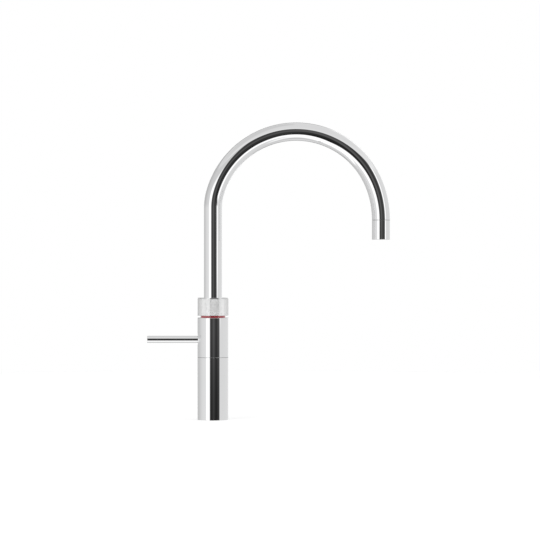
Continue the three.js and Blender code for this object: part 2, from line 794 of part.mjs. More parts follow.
function lightRing() {
  const inner = lightRingRadius - lightRingWall;
  const bottom = lightFlangeTop - lightFlangeThickness;
  return turned([
    [inner, bottom], [lightFlangeRadius, bottom], [lightFlangeRadius, lightFlangeTop],
    [lightRingRadius, lightFlangeTop], [lightRingRadius, lightRingTop], [inner, lightRingTop],
  ], bodySides);
}

piece(tap, 'light_ring', lightRing(), redPlastic());
piece(tap, 'led_board', ring(
  lightRingRadius - lightRingWall + sealFit, lightFlangeRadius,
  boardTop - boardThickness, boardTop, middleSides,
), circuitGreen());

// ---------------------------------------------------------------- knob and valve drive

function valveDriveSleeve() {
  const stepBottom = sleeveStep + sealFit;
  const tube = turned([
    [sleeveLowerBore, sleeveRim], [sleeveRadius, sleeveRim], [sleeveRadius, sleeveTop],
    [sleeveUpperBore, sleeveTop], [sleeveUpperBore, stepBottom], [sleeveLowerBore, stepBottom],
  ], middleSides);
  const root = sleeveRadius - sealFit;
  const splineRing = new THREE.Shape(toothed(root, splineDepth + sealFit, splineCount, splineShare, 0));
  splineRing.holes.push(new THREE.Path(circle(sleeveRadius - sleeveWall / 2, middleSides)));
  const splineBottom = lightRingTop + splineRise;
  const splines = extruded(splineRing, splineBottom, sleeveTop - splineBottom);
  const valveAngle = Math.PI / 2;
  const overrun = THREE.MathUtils.degToRad(camOverrun);
  const turn = THREE.MathUtils.degToRad(knobTurn);
  const camHeight = (angle) => plungerTop + seatGap - camDrop * THREE.MathUtils.radToDeg(valveAngle - angle);
  const cam = ramp(
    sleeveLowerBore + sealFit, sleeveRadius - sealFit, sleeveRim + camRoot,
    valveAngle - turn - overrun, valveAngle + overrun, camHeight, camSteps,
  );
  return joined(tube, splines, cam);
}

const carrierRadius = knobBore - runningFit;

function knobCarrier() {
  const bore = carrierRadius - carrierWall;
  const body = turned([
    [bore, carrierBottom], [carrierRadius, carrierBottom], [carrierRadius, carrierTop],
    [knobPipeBore, carrierTop], [knobPipeBore, carrierTop - carrierFlange],
    [bore, carrierTop - carrierFlange],
  ], middleSides);
  const buried = 0.3;
  const toothRoot = bore + buried;
  const toothTip = sleeveRadius + runningFit;
  const halfPitch = Math.PI / splineCount;
  const grooves = toothed(toothRoot, toothTip - toothRoot, splineCount, splineShare, halfPitch);
  const toothRing = new THREE.Shape(circle(toothRoot + buried, middleSides));
  toothRing.holes.push(new THREE.Path(grooves));
  const toothHeight = sleeveTop - carrierBottom;
  return joined(body, extruded(toothRing, carrierBottom, toothHeight));
}

function knobCap() {
  const rim = knobRadius - sealFit;
  return turned([
    [knobPipeBore, knobSkirtBottom], [carrierRadius, knobSkirtBottom], [carrierRadius, knobCapBottom],
    [rim, knobCapBottom], [rim, knobTop - knobCapEdge], [rim - knobCapEdge, knobTop], [knobPipeBore, knobTop],
  ], bodySides);
}

piece(tap, 'valve_drive_sleeve', valveDriveSleeve(), brass());
piece(tap, 'sleeve_clip', snapRing(
  socketUpperRadius - sleeveClipSeatDepth + runningFit, sleeveClipRadius,
  sleeveTop + seatGap, sleeveClipThickness, middleSides,
), steel());
piece(tap, 'knob_return_spring', coilSpring(
  0, 0, returnSpringRadius, returnSpringWire,
  sleeveTop + seatGap, carrierTop - carrierFlange - seatGap, returnSpringCoils, returnSpringSteps,
), steel());
piece(tap, 'knob_ring', knurledRing(
  knobBore, knobRadius, knurlDepth, knobBottom, knobRingTop, knurlRim, knurlAround, knurlRows,
), chrome());
piece(tap, 'knob_carrier', knobCarrier(), darkPlastic());
piece(tap, 'knob_cap', knobCap(), chrome());

// ---------------------------------------------------------------- spout

function spoutSpigot() {
  const inPipe = pipeBore - runningFit;
  const top = collarTop + spigotInPipe;
  const clipFloor = spigotRadius - clipSeatDepth;
  const clipLow = clipBottom - seatGap;
  const clipHigh = clipTop + seatGap;
  const sealFloor = spigotRadius - sealSeatDepth;
  const sealHalf = sealSection / 2 + sealFit;
  const sealGrooves = sealHeights.flatMap((height) => [
    [spigotRadius, height - sealHalf], [sealFloor, height - sealHalf],
    [sealFloor, height + sealHalf], [spigotRadius, height + sealHalf],
  ]);
  return turned([
    [spigotBore, spigotBottom], [spigotRadius, spigotBottom],
    [spigotRadius, clipLow], [clipFloor, clipLow], [clipFloor, clipHigh], [spigotRadius, clipHigh],
    ...sealGrooves,
    [spigotRadius, collarBottom], [spigotCollarRadius, collarBottom], [spigotCollarRadius, collarTop],
    [inPipe, collarTop], [inPipe, top], [spigotUpperBore, top],
    [spigotUpperBore, fittingSeat], [spigotBore, fittingSeat],
  ], middleSides);
}

function upperBush() {
  const inner = spigotRadius + runningFit;
  const outer = inner + bushWall;
  const seat = socketTop + seatGap;
  const flange = socketUpperRadius - sealFit;
  return turned([
    [inner, socketTop - bushLength], [outer, socketTop - bushLength], [outer, seat],
    [flange, seat], [flange, upperBushTop], [inner, upperBushTop],
  ], middleSides);
}

// Carries the lower end of the hose on the spigot's shoulder, with ways past it for mixed water.
function hoseSwivelFitting() {
  const disc = spigotUpperBore - runningFit;
  const tubeBore = riserTubeRadius + runningFit;
  const boss = tubeBore + fittingBossWall;
  const shoulder = (boss + barbRadius) / 2;
  const skirtBottom = fittingBottom - fittingSkirt;
  const barbBottom = fittingTop + barbCone;
  const portTop = fittingBottom + fittingPort;
  const body = turned([
    [tubeBore, skirtBottom], [boss, skirtBottom], [boss, fittingBottom], [disc, fittingBottom],
    [disc, fittingTop], [shoulder, fittingTop], [barbRadius, barbBottom],
    [barbRadius, barbBottom + barbLength], [barbBore, barbBottom + barbLength],
    [barbBore, portTop], [tubeBore, portTop],
  ], smallSides);
  const notchDepth = spigotUpperBore - boss;
  const notchAt = boss + notchDepth / 2 + sealFit;
  const height = 2 * fittingThickness;
  const middle = (fittingBottom + fittingTop) / 2;
  return cut(
    body,
    block(notchDepth, fittingNotchWidth, height, notchAt, 0, middle),
    block(notchDepth, fittingNotchWidth, height, -notchAt, 0, middle),
    block(fittingNotchWidth, notchDepth, height, 0, notchAt, middle),
    block(fittingNotchWidth, notchDepth, height, 0, -notchAt, middle),
  );
}

function nozzleSleeve() {
  return turned([
    [nozzleMouth, outletHeight], [pipeRadius - nozzleEdge, outletHeight],
    [pipeRadius, outletHeight + nozzleEdge],
    [pipeRadius, nozzleTop], [nozzleBore, nozzleTop], [nozzleBore, outletHeight + nozzleLip],
    [nozzleMouth, outletHeight + nozzleLip],
  ], bodySides);
}

// The stream former: a ring of holes for mixed water round the boiling water's own outlet.
function outletInsert() {
  const outer = nozzleBore - runningFit;
  const inner = outer - insertWall;
  const wallTop = insertBottom + insertHeight;
  const barbFoot = insertFloorTop + barbCone;
  const body = turned([
    [barbBore, insertBottom], [outer, insertBottom], [outer, wallTop], [inner, wallTop],
    [inner, insertFloorTop], [barbRadius + barbCone, insertFloorTop], [barbRadius, barbFoot],
    [barbRadius, barbFoot + barbLength], [barbBore, barbFoot + barbLength],
  ], smallSides);
  const holes = Array.from({ length: insertHoles }, (_, i) => {
    const angle = (2 * Math.PI * i) / insertHoles;
    const x = insertHoleCircle * Math.cos(angle);
    const y = insertHoleCircle * Math.sin(angle);
    return bar(insertHoleRadius, [x, y, insertBottom - 1], [x, y, insertFloorTop + 1], holeSides);
  });
  return cut(body, ...holes);
}

const sealMiddle = (spigotRadius - sealSeatDepth + socketBore) / 2;
const bushInner = spigotRadius + runningFit;

piece(tap, 'upper_slip_bush', upperBush(), palePlastic());
piece(tap, 'lower_slip_bush', ring(
  bushInner, bushInner + bushWall, lowerBushBottom, lowerBushTop, middleSides,
), palePlastic());
piece(tap, 'spout_retaining_clip', snapRing(
  spigotRadius - clipSeatDepth + runningFit, socketBore + clipSeatDepth - runningFit,
  clipBottom, clipThickness, middleSides,
), steel());
piece(tap, 'spout_spigot', spoutSpigot(), brass());
piece(tap, 'lower_spigot_seal', sealRing(sealMiddle, sealHeights[0]), rubber());
piece(tap, 'upper_spigot_seal', sealRing(sealMiddle, sealHeights[1]), rubber());
piece(tap, 'hose_swivel_fitting', hoseSwivelFitting(), brass());
piece(tap, 'spout_pipe', swept(
  circle(pipeRadius, pipeSides), [circle(pipeBore, pipeBoreSides)], neckPath(pipeBottom, pipeEnd), pipeSteps,
), chrome());
const hoseBottom = fittingTop + barbCone + seatGap;
const hoseEnd = insertFloorTop + barbCone + seatGap;
piece(tap, 'boiling_hose', swept(
  circle(hoseRadius, hoseSides), [circle(hoseBore, hoseBoreSides)], neckPath(hoseBottom, hoseEnd), hoseSteps,
), siliconeHose());

const nozzle = new THREE.Group();
nozzle.position.x = spoutReach;
tap.add(nozzle);
const joinerOuter = pipeBore - runningFit;
piece(nozzle, 'nozzle_joiner', ring(
  joinerOuter - joinerWall, joinerOuter, nozzleTop - joinerInNozzle, nozzleTop + joinerInPipe, middleSides,
), brass());
const nozzleSealBottom = nozzleTop + (nozzleSeamGap - nozzleSealThickness) / 2;
piece(nozzle, 'nozzle_seal', ring(
  pipeBore + sealFit, pipeRadius - nozzleEdge,
  nozzleSealBottom, nozzleSealBottom + nozzleSealThickness, middleSides,
), rubber());
piece(nozzle, 'nozzle_sleeve', nozzleSleeve(), chrome());
piece(nozzle, 'outlet_insert', outletInsert(), darkPlastic());

// ---------------------------------------------------------------- mixer cartridge

// Distances along the cartridge's axis, each piece seated on the one before it.
const turretBack = turretFace + turretFloor;
const carrierFace = turretBack + seatGap;
const carrierBack = carrierFace + carrierDiscThickness;
const movingFace = carrierBack + seatGap;
const movingBack = movingFace + movingDiscThickness;
const fixedFace = movingBack + seatGap;
const fixedBack = fixedFace + fixedDiscThickness;
const baseFace = fixedBack + seatGap;
const housingFace = turretFace - seatGap - turretLip;
const nutFace = housingFace - seatGap - cartridgeNutThickness;
const cartridgeRadius = cartridgeBore - runningFit;
const cartridgeInner = cartridgeRadius - cartridgeWall;
const stemTipX = leverPivotX + stemLength;
const liftAngle = THREE.MathUtils.degToRad(leverLift);

function cartridgeHousing() {
  const lip = turretRadius - turretLip;
  return turnedOnX([
    [lip, housingFace], [cartridgeRadius, housingFace], [cartridgeRadius, fixedBack],
    [cartridgeInner, fixedBack], [cartridgeInner, housingFace + turretLip], [lip, housingFace + turretLip],
  ], middleSides);
}

// A disc on the cartridge's axis with the two inlet ports and the outlet port.
function portedDisc(radius, face, back) {
  const disc = turnedOnX([[0, face], [radius, face], [radius, back], [0, back]], middleSides);
  const ports = [[-inletY, 0], [inletY, 0], [0, outletRise]];
  return cut(disc, ...ports.map(([y, z]) => bar(crossPort, [face - 1, y, z], [back + 1, y, z], tinySides)));
}

function cartridgeNut() {
  const back = nutFace + cartridgeNutThickness;
  const nut = turnedOnX([
    [cartridgeNutBore, nutFace], [cartridgeRadius, nutFace],
    [cartridgeRadius, back], [cartridgeNutBore, back],
  ], middleSides);
  const slot = (y, z) => block(cartridgeNutThickness, y, z, nutFace, 0, 0);
  return cut(nut, slot(3, 3 * cartridgeRadius), slot(3 * cartridgeRadius, 3));
}

function turretEar(side) {
  const steps = 8;
  const round = Array.from({ length: steps + 1 }, (_, i) => {
    const angle = Math.PI / 2 + (Math.PI * i) / steps;
    return new THREE.Vector2(
      leverPivotX + earHalfWidth * Math.cos(angle),
      earHalfWidth * Math.sin(angle),
    );
  });
  const root = turretFace + turretFloor / 2;
  const outline = [new THREE.Vector2(root, -earHalfWidth), new THREE.Vector2(root, earHalfWidth), ...round];
  const start = side > 0 ? earInner : -earInner - earThickness;
  return extruded(new THREE.Shape(outline), start, earThickness).rotateX(Math.PI / 2);
}

function cartridgeTurret() {
  const floor = turnedOnX([
    [0, turretFace], [turretRadius, turretFace], [turretRadius, turretBack], [0, turretBack],
  ], middleSides);
  const slotHalfWidth = stemTip + stemSlotFit;
  const slotTop = slotHalfWidth;
  const slotBottom = -((turretBack - leverPivotX) * Math.tan(liftAngle) + stemRadius + 2 * runningFit);
  const slot = block(
    2 * turretFloor, 2 * slotHalfWidth, slotTop - slotBottom,
    turretFace, 0, (slotTop + slotBottom) / 2,
  );
  const widePin = pivotPinRadius + sealFit;
  const earReach = 2 * (earInner + earThickness);
  const pinHole = bar(widePin, [leverPivotX, -earReach, 0], [leverPivotX, earReach, 0], tinySides);
  return cut(joined(cut(floor, slot), turretEar(1), turretEar(-1)), pinHole);
}

const cartridge = new THREE.Group();
cartridge.position.z = leverHeight;
tap.add(cartridge);
piece(cartridge, 'cartridge_housing', cartridgeHousing(), palePlastic());
piece(cartridge, 'cartridge_nut', cartridgeNut(), brass());
piece(cartridge, 'cartridge_base', portedDisc(
  cartridgeRadius, baseFace, baseFace + cartridgeBaseThickness,
), palePlastic());
piece(cartridge, 'fixed_ceramic_disc', portedDisc(fixedDiscRadius, fixedFace, fixedBack), ceramic());
piece(cartridge, 'cartridge_turret', cartridgeTurret(), palePlastic());
const pinReach = earInner + earThickness - sealFit;
piece(cartridge, 'lever_pivot_pin', bar(
  pivotPinRadius, [leverPivotX, -pinReach, 0], [leverPivotX, pinReach, 0], tinySides,
), steel());
piece(cartridge, 'disc_carrier', cut(
  bar(discRadius, [carrierFace, 0, discOffset], [carrierBack, 0, discOffset], middleSides),
  bar(stemTip + runningFit, [carrierFace - 1, 0, 0], [carrierBack + 1, 0, 0], tinySides),
), palePlastic());
piece(cartridge, 'moving_ceramic_disc', cut(
  bar(discRadius, [movingFace, 0, discOffset], [movingBack, 0, discOffset], middleSides),
  bar(
    movingDiscPocket,
    [(movingFace + movingBack) / 2, 0, discOffset],
    [movingBack + 1, 0, discOffset],
    tinySides,
  ),
), ceramic());

// ---------------------------------------------------------------- lever

const bossRadius = earInner - runningFit;
const bossEnd = leverPivotX - Math.sqrt(domeInnerRadius ** 2 - bossRadius ** 2) + bossOverlap;
const studHole = studRadius + sealFit;

// Points on a circle about the pivot, given by their angle from the -X direction.
function aroundPivot(radius, fromAngle, toAngle, steps) {
  return Array.from({ length: steps + 1 }, (_, i) => {
    const angle = fromAngle + ((toAngle - fromAngle) * i) / steps;
    return [radius * Math.sin(angle), leverPivotX - radius * Math.cos(angle)];
  });
}

function cartridgeStem() {
  const eyeEnd = Math.PI - Math.asin(stemRadius / bossRadius);
  const tipStart = stemTipX - Math.sqrt(stemTip ** 2 - stemRadius ** 2);
  const tipSide = stemTip * Math.SQRT1_2;
  const body = turnedOnX([
    [0, bossEnd], [bossRadius, bossEnd], ...aroundPivot(bossRadius, Math.PI / 2, eyeEnd, 3),
    [stemRadius, tipStart], [stemTip, stemTipX], [tipSide, stemTipX + tipSide], [0, stemTipX + stemTip],
  ], smallSides);
  const pinHole = pivotPinRadius + runningFit;
  return cut(
    body,
    bar(pinHole, [leverPivotX, -2 * bossRadius, 0], [leverPivotX, 2 * bossRadius, 0], tinySides),
    bar(studHole, [bossEnd - 1, 0, 0], [bossEnd + studInStem, 0, 0], tinySides),
  );
}

function leverDome() {
  const flatAngle = Math.acos((leverPivotX - domeFlatX) / domeRadius);
  const holeAngle = Math.asin(studHole / domeInnerRadius);
  return turnedOnX([
    [studHole, domeFlatX],
    ...aroundPivot(domeRadius, flatAngle, domeRimAngle, 6),
    ...aroundPivot(domeInnerRadius, domeRimAngle, holeAngle, 5),
  ], middleSides);
}

function leverRod() {
  const root = domeFlatX - rodGap;
  const boreEnd = root - studInRod - seatGap;
  return turnedOnX([
    [0, -leverTip], [leverRadius - leverEdge, -leverTip], [leverRadius, -leverTip + leverEdge],
    [leverRadius, root], [studHole, root], [studHole, boreEnd], [0, boreEnd],
  ], middleSides);
}

const lever = new THREE.Group();
lever.position.z = leverHeight;
tap.add(lever);
piece(lever, 'cartridge_stem', cartridgeStem(), steel());
piece(lever, 'lever_dome', leverDome(), chrome());
piece(lever, 'lever_rod', leverRod(), chrome());
piece(lever, 'lever_stud', bar(
  studRadius, [domeFlatX - studInRod, 0, 0], [bossEnd + studInStem - sealFit, 0, 0], tinySides,
), steel());

export default tap;
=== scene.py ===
# The looks of a boiling water tap: polished chrome with a knurled ring knob over a dark red
# light ring, on a plain white floor. Metres, +Z up; the front looks along -Y.

import json
import math

import bmesh
import bpy
from mathutils import Matrix, Vector


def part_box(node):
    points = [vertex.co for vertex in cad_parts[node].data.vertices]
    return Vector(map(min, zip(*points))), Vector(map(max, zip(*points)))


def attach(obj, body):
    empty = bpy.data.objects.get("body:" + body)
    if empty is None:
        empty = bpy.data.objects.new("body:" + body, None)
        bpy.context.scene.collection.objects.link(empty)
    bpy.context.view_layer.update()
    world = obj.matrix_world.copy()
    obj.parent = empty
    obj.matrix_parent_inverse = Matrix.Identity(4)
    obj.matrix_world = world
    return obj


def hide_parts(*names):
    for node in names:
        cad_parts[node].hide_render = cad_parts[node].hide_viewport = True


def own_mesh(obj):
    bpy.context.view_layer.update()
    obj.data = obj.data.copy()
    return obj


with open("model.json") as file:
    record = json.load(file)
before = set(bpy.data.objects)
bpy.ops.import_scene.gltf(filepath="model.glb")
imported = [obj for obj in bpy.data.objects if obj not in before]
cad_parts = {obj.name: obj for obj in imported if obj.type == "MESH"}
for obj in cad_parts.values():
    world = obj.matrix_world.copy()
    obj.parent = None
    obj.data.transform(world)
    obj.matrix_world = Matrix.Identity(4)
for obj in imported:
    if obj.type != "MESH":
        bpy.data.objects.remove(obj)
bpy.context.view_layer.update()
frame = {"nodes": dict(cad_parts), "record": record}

MM = 0.001
# How near two points count as one, and how near a point counts as on a ring or wall.
SAME_POINT = 1e-7
SAME_LINE = 1e-6

# ------------------------------------------------------------------ places, from the frame


def radius_of(node):
    low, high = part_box(node)
    return (high[0] - low[0]) / 2


def bottom_of(node):
    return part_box(node)[0][2]


def top_of(node):
    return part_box(node)[1][2]


# The body's lower and upper shell, the seam between them and the seats cut into them.
BODY_RADIUS = radius_of("lower_body_shell")
JOINT_SPIGOT_TOP = top_of("lower_body_shell")
UPPER_BOTTOM = bottom_of("upper_body_shell")
BODY_TOP = top_of("upper_body_shell")
JOINT_GAP = 0.3 * MM
LOWER_TOP = UPPER_BOTTOM - JOINT_GAP
BODY_EDGE = 0.5 * MM
FINE_EDGE = 0.12 * MM
# How far in the middle of a fine round lies, as a share of the round.
FINE_EDGE_MIDDLE = 0.3
UPPER_BORE = 18.0 * MM
TOP_PLATE = 3.5 * MM
LOWER_BORE = 17.6 * MM
SPIGOT_RADIUS = 17.7 * MM
SPIGOT_BORE = 16.3 * MM
SPIGOT_BORE_BOTTOM = LOWER_TOP - 2.0 * MM
LOWER_BORE_TOP = LOWER_TOP - 4.0 * MM
BASE_THICKNESS = 6.0 * MM
SHANK_HOLE = 14.3 * MM
SEAL_SEAT_RADIUS = 19.0 * MM
SEAL_SEAT_DEPTH = 0.9 * MM
GASKET_GROOVE_INNER = 16.65 * MM
GASKET_GROOVE_OUTER = 18.75 * MM
GASKET_GROOVE_DEPTH = 1.65 * MM

# The light ring, held by its flange under the body's top plate.
LIGHT_RADIUS = 16.2 * MM
LIGHT_BORE = 14.7 * MM
LIGHT_FLANGE_TOP = 129.9 * MM
LIGHT_FLANGE_RADIUS = 17.5 * MM
LIGHT_FLANGE_THICKNESS = 1.1 * MM
LIGHT_EDGE = 0.3 * MM
LIGHT_HOLE = 16.5 * MM

# The knob: a ring with a knurl of small points between plain rims, and its cap.
KNOB_RADIUS = radius_of("knob_ring")
KNOB_BOTTOM = bottom_of("knob_ring")
KNOB_RING_TOP = top_of("knob_ring")
KNOB_TOP = top_of("knob_cap")
KNOB_BORE = 16.9 * MM
CAP_RADIUS = radius_of("knob_cap")
CAP_BORE = 12.3 * MM
CAP_BOTTOM = bottom_of("knob_cap")
CAP_THICKNESS = 0.7 * MM
CAP_BRIM = KNOB_TOP - CAP_THICKNESS
CAP_SKIRT_RADIUS = KNOB_BORE - 0.3 * MM
CAP_EDGE = 0.25 * MM
GROOVE_PAINT_MARGIN = 0.01 * MM
KNURL_RIM = 0.35 * MM
KNURL_PITCH = 1.2 * MM
KNURL_DEPTH = 0.27 * MM
KNURL_FLAT = 0.3
KNURL_TIP_INSET = 0.04 * MM
KNURL_RUNOUT = 0.1 * MM
KNURL_STEPS = 8

# The neck bends in three arcs: a tight lead-in, the main bend and a slack run-out.
PIPE_RADIUS = radius_of("nozzle_sleeve")
PIPE_BORE = 10.4 * MM
PIPE_BOTTOM = bottom_of("spout_pipe")
NOZZLE_GAP = 0.4 * MM
PIPE_END = top_of("nozzle_sleeve") + NOZZLE_GAP
NECK_TOP = top_of("spout_pipe")
REACH = (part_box("nozzle_sleeve")[0][0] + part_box("nozzle_sleeve")[1][0]) / 2
LEAD_IN_RADIUS = 72 * MM
LEAD_IN_ANGLE = math.radians(15.3)
LEAD_IN_STEPS = 16
RUN_OUT_RADIUS = 125.5 * MM
RUN_OUT_ANGLE = math.radians(20)
RUN_OUT_STEPS = 24
MAIN_BEND_STEPS = 120

# The nozzle's sleeve, with a lip round its mouth.
NOZZLE_BOTTOM = bottom_of("nozzle_sleeve")
NOZZLE_TOP = top_of("nozzle_sleeve")
NOZZLE_BORE = 10.2 * MM
NOZZLE_MOUTH = 9.2 * MM
NOZZLE_LIP = 1.2 * MM

# The lever, the dome at its root and the opening that the dome moves in.
LEVER_HEIGHT = (bottom_of("lever_rod") + top_of("lever_rod")) / 2
LEVER_RADIUS = (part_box("lever_rod")[1][1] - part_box("lever_rod")[0][1]) / 2
LEVER_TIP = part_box("lever_rod")[0][0]
LEVER_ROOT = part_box("lever_rod")[1][0]
LEVER_TIP_EDGE = 0.35 * MM
LEVER_OPENING = 7.4 * MM
LEVER_OPENING_INSIDE = 8.15 * MM
OPENING_PATCH = 16.3 * MM
OPENING_SPOKES = 96
OPENING_RINGS = 7
OPENING_SPREAD = 1.4
PIVOT_X = -14.0 * MM
DOME_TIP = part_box("lever_dome")[0][0]
DOME_RADIUS = 8.0 * MM
DOME_INNER = 5.6 * MM
DOME_RIM = math.radians(82)
DOME_STEPS = 24
DOME_INNER_STEPS = 16
STUD_HOLE = 1.85 * MM
STUD_HOLE_END = LEVER_ROOT - 9.3 * MM

# The fixing below the worktop.
SHANK_RADIUS = radius_of("threaded_shank")
SHANK_BOTTOM = bottom_of("threaded_shank")
SHANK_TOP = top_of("threaded_shank")
SHANK_BORE = 11.0 * MM
THREAD_PITCH = 1.5 * MM
THREAD_DEPTH = 0.8 * MM
THREAD_TOP = -1.0 * MM
WASHER_BORE = 14.6 * MM
FIXING_EDGE = 0.3 * MM
FIXING_EDGE_STEPS = 2

# The joint that closes each spring, the radius of its wire, its coils and the body it rides on.
KNOB_SPRING = ("knob_press", 0.6 * MM, 2, "valve_drive")
VALVE_SPRING = ("boiling_valve_lift", 0.22 * MM, 4, "root")

# How finely round things are divided, and where the order of a ring's points starts.
ROUND_STEPS = 192
EDGE_STEPS = 5
WALL_STEPS = 168
PIPE_SIDES = 96
LEVER_SIDES = 96
NOZZLE_SIDES = 128
WASHER_SIDES = 128
RING_SEAM = math.radians(0.4)

# ------------------------------------------------------------------ materials

# The range that holds most of a noise, and how much finer the relief's grain is.
NOISE_LOW = 0.3
NOISE_HIGH = 0.7
GRAIN_SCALE = 12


def new_material(name):
    material = bpy.data.materials.new(name)
    material.use_nodes = True
    return material, material.node_tree.nodes, material.node_tree.links


def noise(nodes, links, scale, detail=4.0, stretch=(1, 1, 1)):
    """A noise texture in object space, stretched along an axis."""
    place = nodes.new("ShaderNodeTexCoord")
    mapping = nodes.new("ShaderNodeMapping")
    mapping.inputs["Scale"].default_value = stretch
    texture = nodes.new("ShaderNodeTexNoise")
    texture.inputs["Scale"].default_value = scale
    texture.inputs["Detail"].default_value = detail
    links.new(place.outputs["Object"], mapping.inputs["Vector"])
    links.new(mapping.outputs["Vector"], texture.inputs["Vector"])
    return texture


def spread(nodes, links, source, low, high):
    """The source's middle range mapped to low..high."""
    remap = nodes.new("ShaderNodeMapRange")
    remap.inputs["From Min"].default_value = NOISE_LOW
    remap.inputs["From Max"].default_value = NOISE_HIGH
    remap.inputs["To Min"].default_value = low
    remap.inputs["To Max"].default_value = high
    links.new(source, remap.inputs["Value"])
    return remap.outputs["Result"]


def tinted(nodes, links, source, first, second):
    """A colour that drifts between two near tones."""
    mix = nodes.new("ShaderNodeMix")
    mix.data_type = "RGBA"
    mix.inputs["A"].default_value = (*first, 1)
    mix.inputs["B"].default_value = (*second, 1)
    links.new(source, mix.inputs["Factor"])
    return mix.outputs["Result"]


def bumped(nodes, links, source, height):
    """Normals of a relief as high as the given height."""
    bump = nodes.new("ShaderNodeBump")
    bump.inputs["Strength"].default_value = 1.0
    bump.inputs["Distance"].default_value = height
    links.new(source, bump.inputs["Height"])
    return bump.outputs["Normal"]


def finish(name, first, second, rough, metallic=0.0, scale=60.0, stretch=(1, 1, 1), bump=0.0,
           **extra):
    """A surface whose tone and roughness drift with a noise, over a fine relief."""
    material, nodes, links = new_material(name)
    shader = nodes["Principled BSDF"]
    shader.inputs["Metallic"].default_value = metallic
    for socket, value in extra.items():
        shader.inputs[socket.replace("_", " ")].default_value = value
    texture = noise(nodes, links, scale, stretch=stretch)
    drift = texture.outputs["Fac"]
    links.new(tinted(nodes, links, drift, first, second), shader.inputs["Base Color"])
    links.new(spread(nodes, links, drift, *rough), shader.inputs["Roughness"])
    if bump:
        grain = noise(nodes, links, scale * GRAIN_SCALE, detail=2.0, stretch=stretch)
        links.new(bumped(nodes, links, grain.outputs["Fac"], bump), shader.inputs["Normal"])
    return material


# Each finish drifts from the first tone to the second, and between two roughnesses.
CHROME = finish("chrome", (0.90, 0.905, 0.91), (0.93, 0.93, 0.935), (0.015, 0.04),
                metallic=1.0, scale=25.0)
KNURL = finish("knurled_chrome", (0.93, 0.93, 0.93), (0.96, 0.96, 0.96), (0.08, 0.16),
               metallic=1.0, scale=400.0)
BRASS = finish("brass", (0.62, 0.46, 0.2), (0.7, 0.53, 0.25), (0.25, 0.4),
               metallic=1.0, scale=90.0, stretch=(1, 1, 8), bump=0.01 * MM)
STEEL = finish("steel", (0.55, 0.56, 0.57), (0.64, 0.65, 0.66), (0.22, 0.36),
               metallic=1.0, scale=120.0, stretch=(1, 1, 10), bump=0.008 * MM)
RUBBER = finish("rubber", (0.018, 0.018, 0.018), (0.03, 0.03, 0.031), (0.6, 0.8),
                scale=200.0, bump=0.02 * MM)
# A near-black finish for the faces inside the knob's groove: painted shade, not a dark part of the
# tap.
GROOVE_SHADE = finish("groove", (0.02, 0.02, 0.021), (0.03, 0.03, 0.031), (0.5, 0.7), scale=300.0)
RED_LENS = finish("red_lens", (0.74, 0.055, 0.08), (0.8, 0.07, 0.1), (0.2, 0.3),
                  scale=150.0, Specular_IOR_Level=1.0, Coat_Weight=0.8)
BOARD = finish("circuit_board", (0.02, 0.1, 0.05), (0.03, 0.14, 0.06), (0.35, 0.5), scale=300.0)
DARK_PLASTIC = finish("dark_plastic", (0.035, 0.035, 0.038), (0.05, 0.05, 0.053), (0.4, 0.55),
                      scale=250.0, bump=0.01 * MM)
PALE_PLASTIC = finish("pale_plastic", (0.68, 0.67, 0.63), (0.74, 0.73, 0.69), (0.4, 0.5),
                      scale=250.0)
CERAMIC = finish("ceramic", (0.82, 0.81, 0.78), (0.86, 0.85, 0.82), (0.08, 0.14), scale=300.0)
HOSE = finish("silicone_hose", (0.5, 0.52, 0.53), (0.58, 0.6, 0.61), (0.45, 0.6), scale=220.0)

SLOT_MATERIALS = {
    "chrome": CHROME, "brass": BRASS, "steel": STEEL, "rubber": RUBBER, "red_lens": RED_LENS,
    "circuit_board": BOARD, "dark_plastic": DARK_PLASTIC, "pale_plastic": PALE_PLASTIC,
    "ceramic": CERAMIC, "silicone_hose": HOSE,
}

for part in frame["record"]["subparts"]:
    node = frame["nodes"][part["node"]]
    node.data.materials.clear()
    node.data.materials.append(SLOT_MATERIALS[part["material_slot"]])

# ------------------------------------------------------------------ mesh helpers


def make_piece(name, vertices, faces, material, body, stands_for, sharp=35):
    """A smooth mesh with creases at its sharp edges, riding on a body in place of a CAD node."""
    mesh = bpy.data.meshes.new(name)
    mesh.from_pydata(vertices, [], faces)
    mesh.validate()
    sheet = bmesh.new()
    sheet.from_mesh(mesh)
    bmesh.ops.remove_doubles(sheet, verts=sheet.verts, dist=SAME_POINT)
    loose = [edge for edge in sheet.edges if not edge.link_faces]
    bmesh.ops.delete(sheet, geom=loose, context="EDGES")
    bmesh.ops.recalc_face_normals(sheet, faces=sheet.faces)
    for face in sheet.faces:
        face.smooth = True
    for edge in sheet.edges:
        edge.smooth = edge.calc_face_angle(0) < math.radians(sharp)
    sheet.to_mesh(mesh)
    sheet.free()
    mesh.materials.append(material)
    piece = bpy.data.objects.new(name, mesh)
    bpy.context.scene.collection.objects.link(piece)
    normals = piece.modifiers.new("normals", "WEIGHTED_NORMAL")
    normals.keep_sharp = True
    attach(piece, body)
    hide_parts(*stands_for)
    return piece


def rounded(corners):
    """Outline points from (radius, height, fillet) corners of a closed outline."""
    points = []
    count = len(corners)
    for i, (radius, height, fillet) in enumerate(corners):
        here = Vector((radius, height))
        if not fillet:
            points.append(here)
            continue
        before = Vector(corners[i - 1][:2]) - here
        after = Vector(corners[(i + 1) % count][:2]) - here
        start = here + before.normalized() * fillet
        end = here + after.normalized() * fillet
        for step in range(EDGE_STEPS + 1):
            t = step / EDGE_STEPS
            points.append(start * (1 - t) ** 2 + here * 2 * t * (1 - t) + end * t ** 2)
    return points


def cylinder_point(radius, angle, height):
    return (radius * math.cos(angle), radius * math.sin(angle), height)


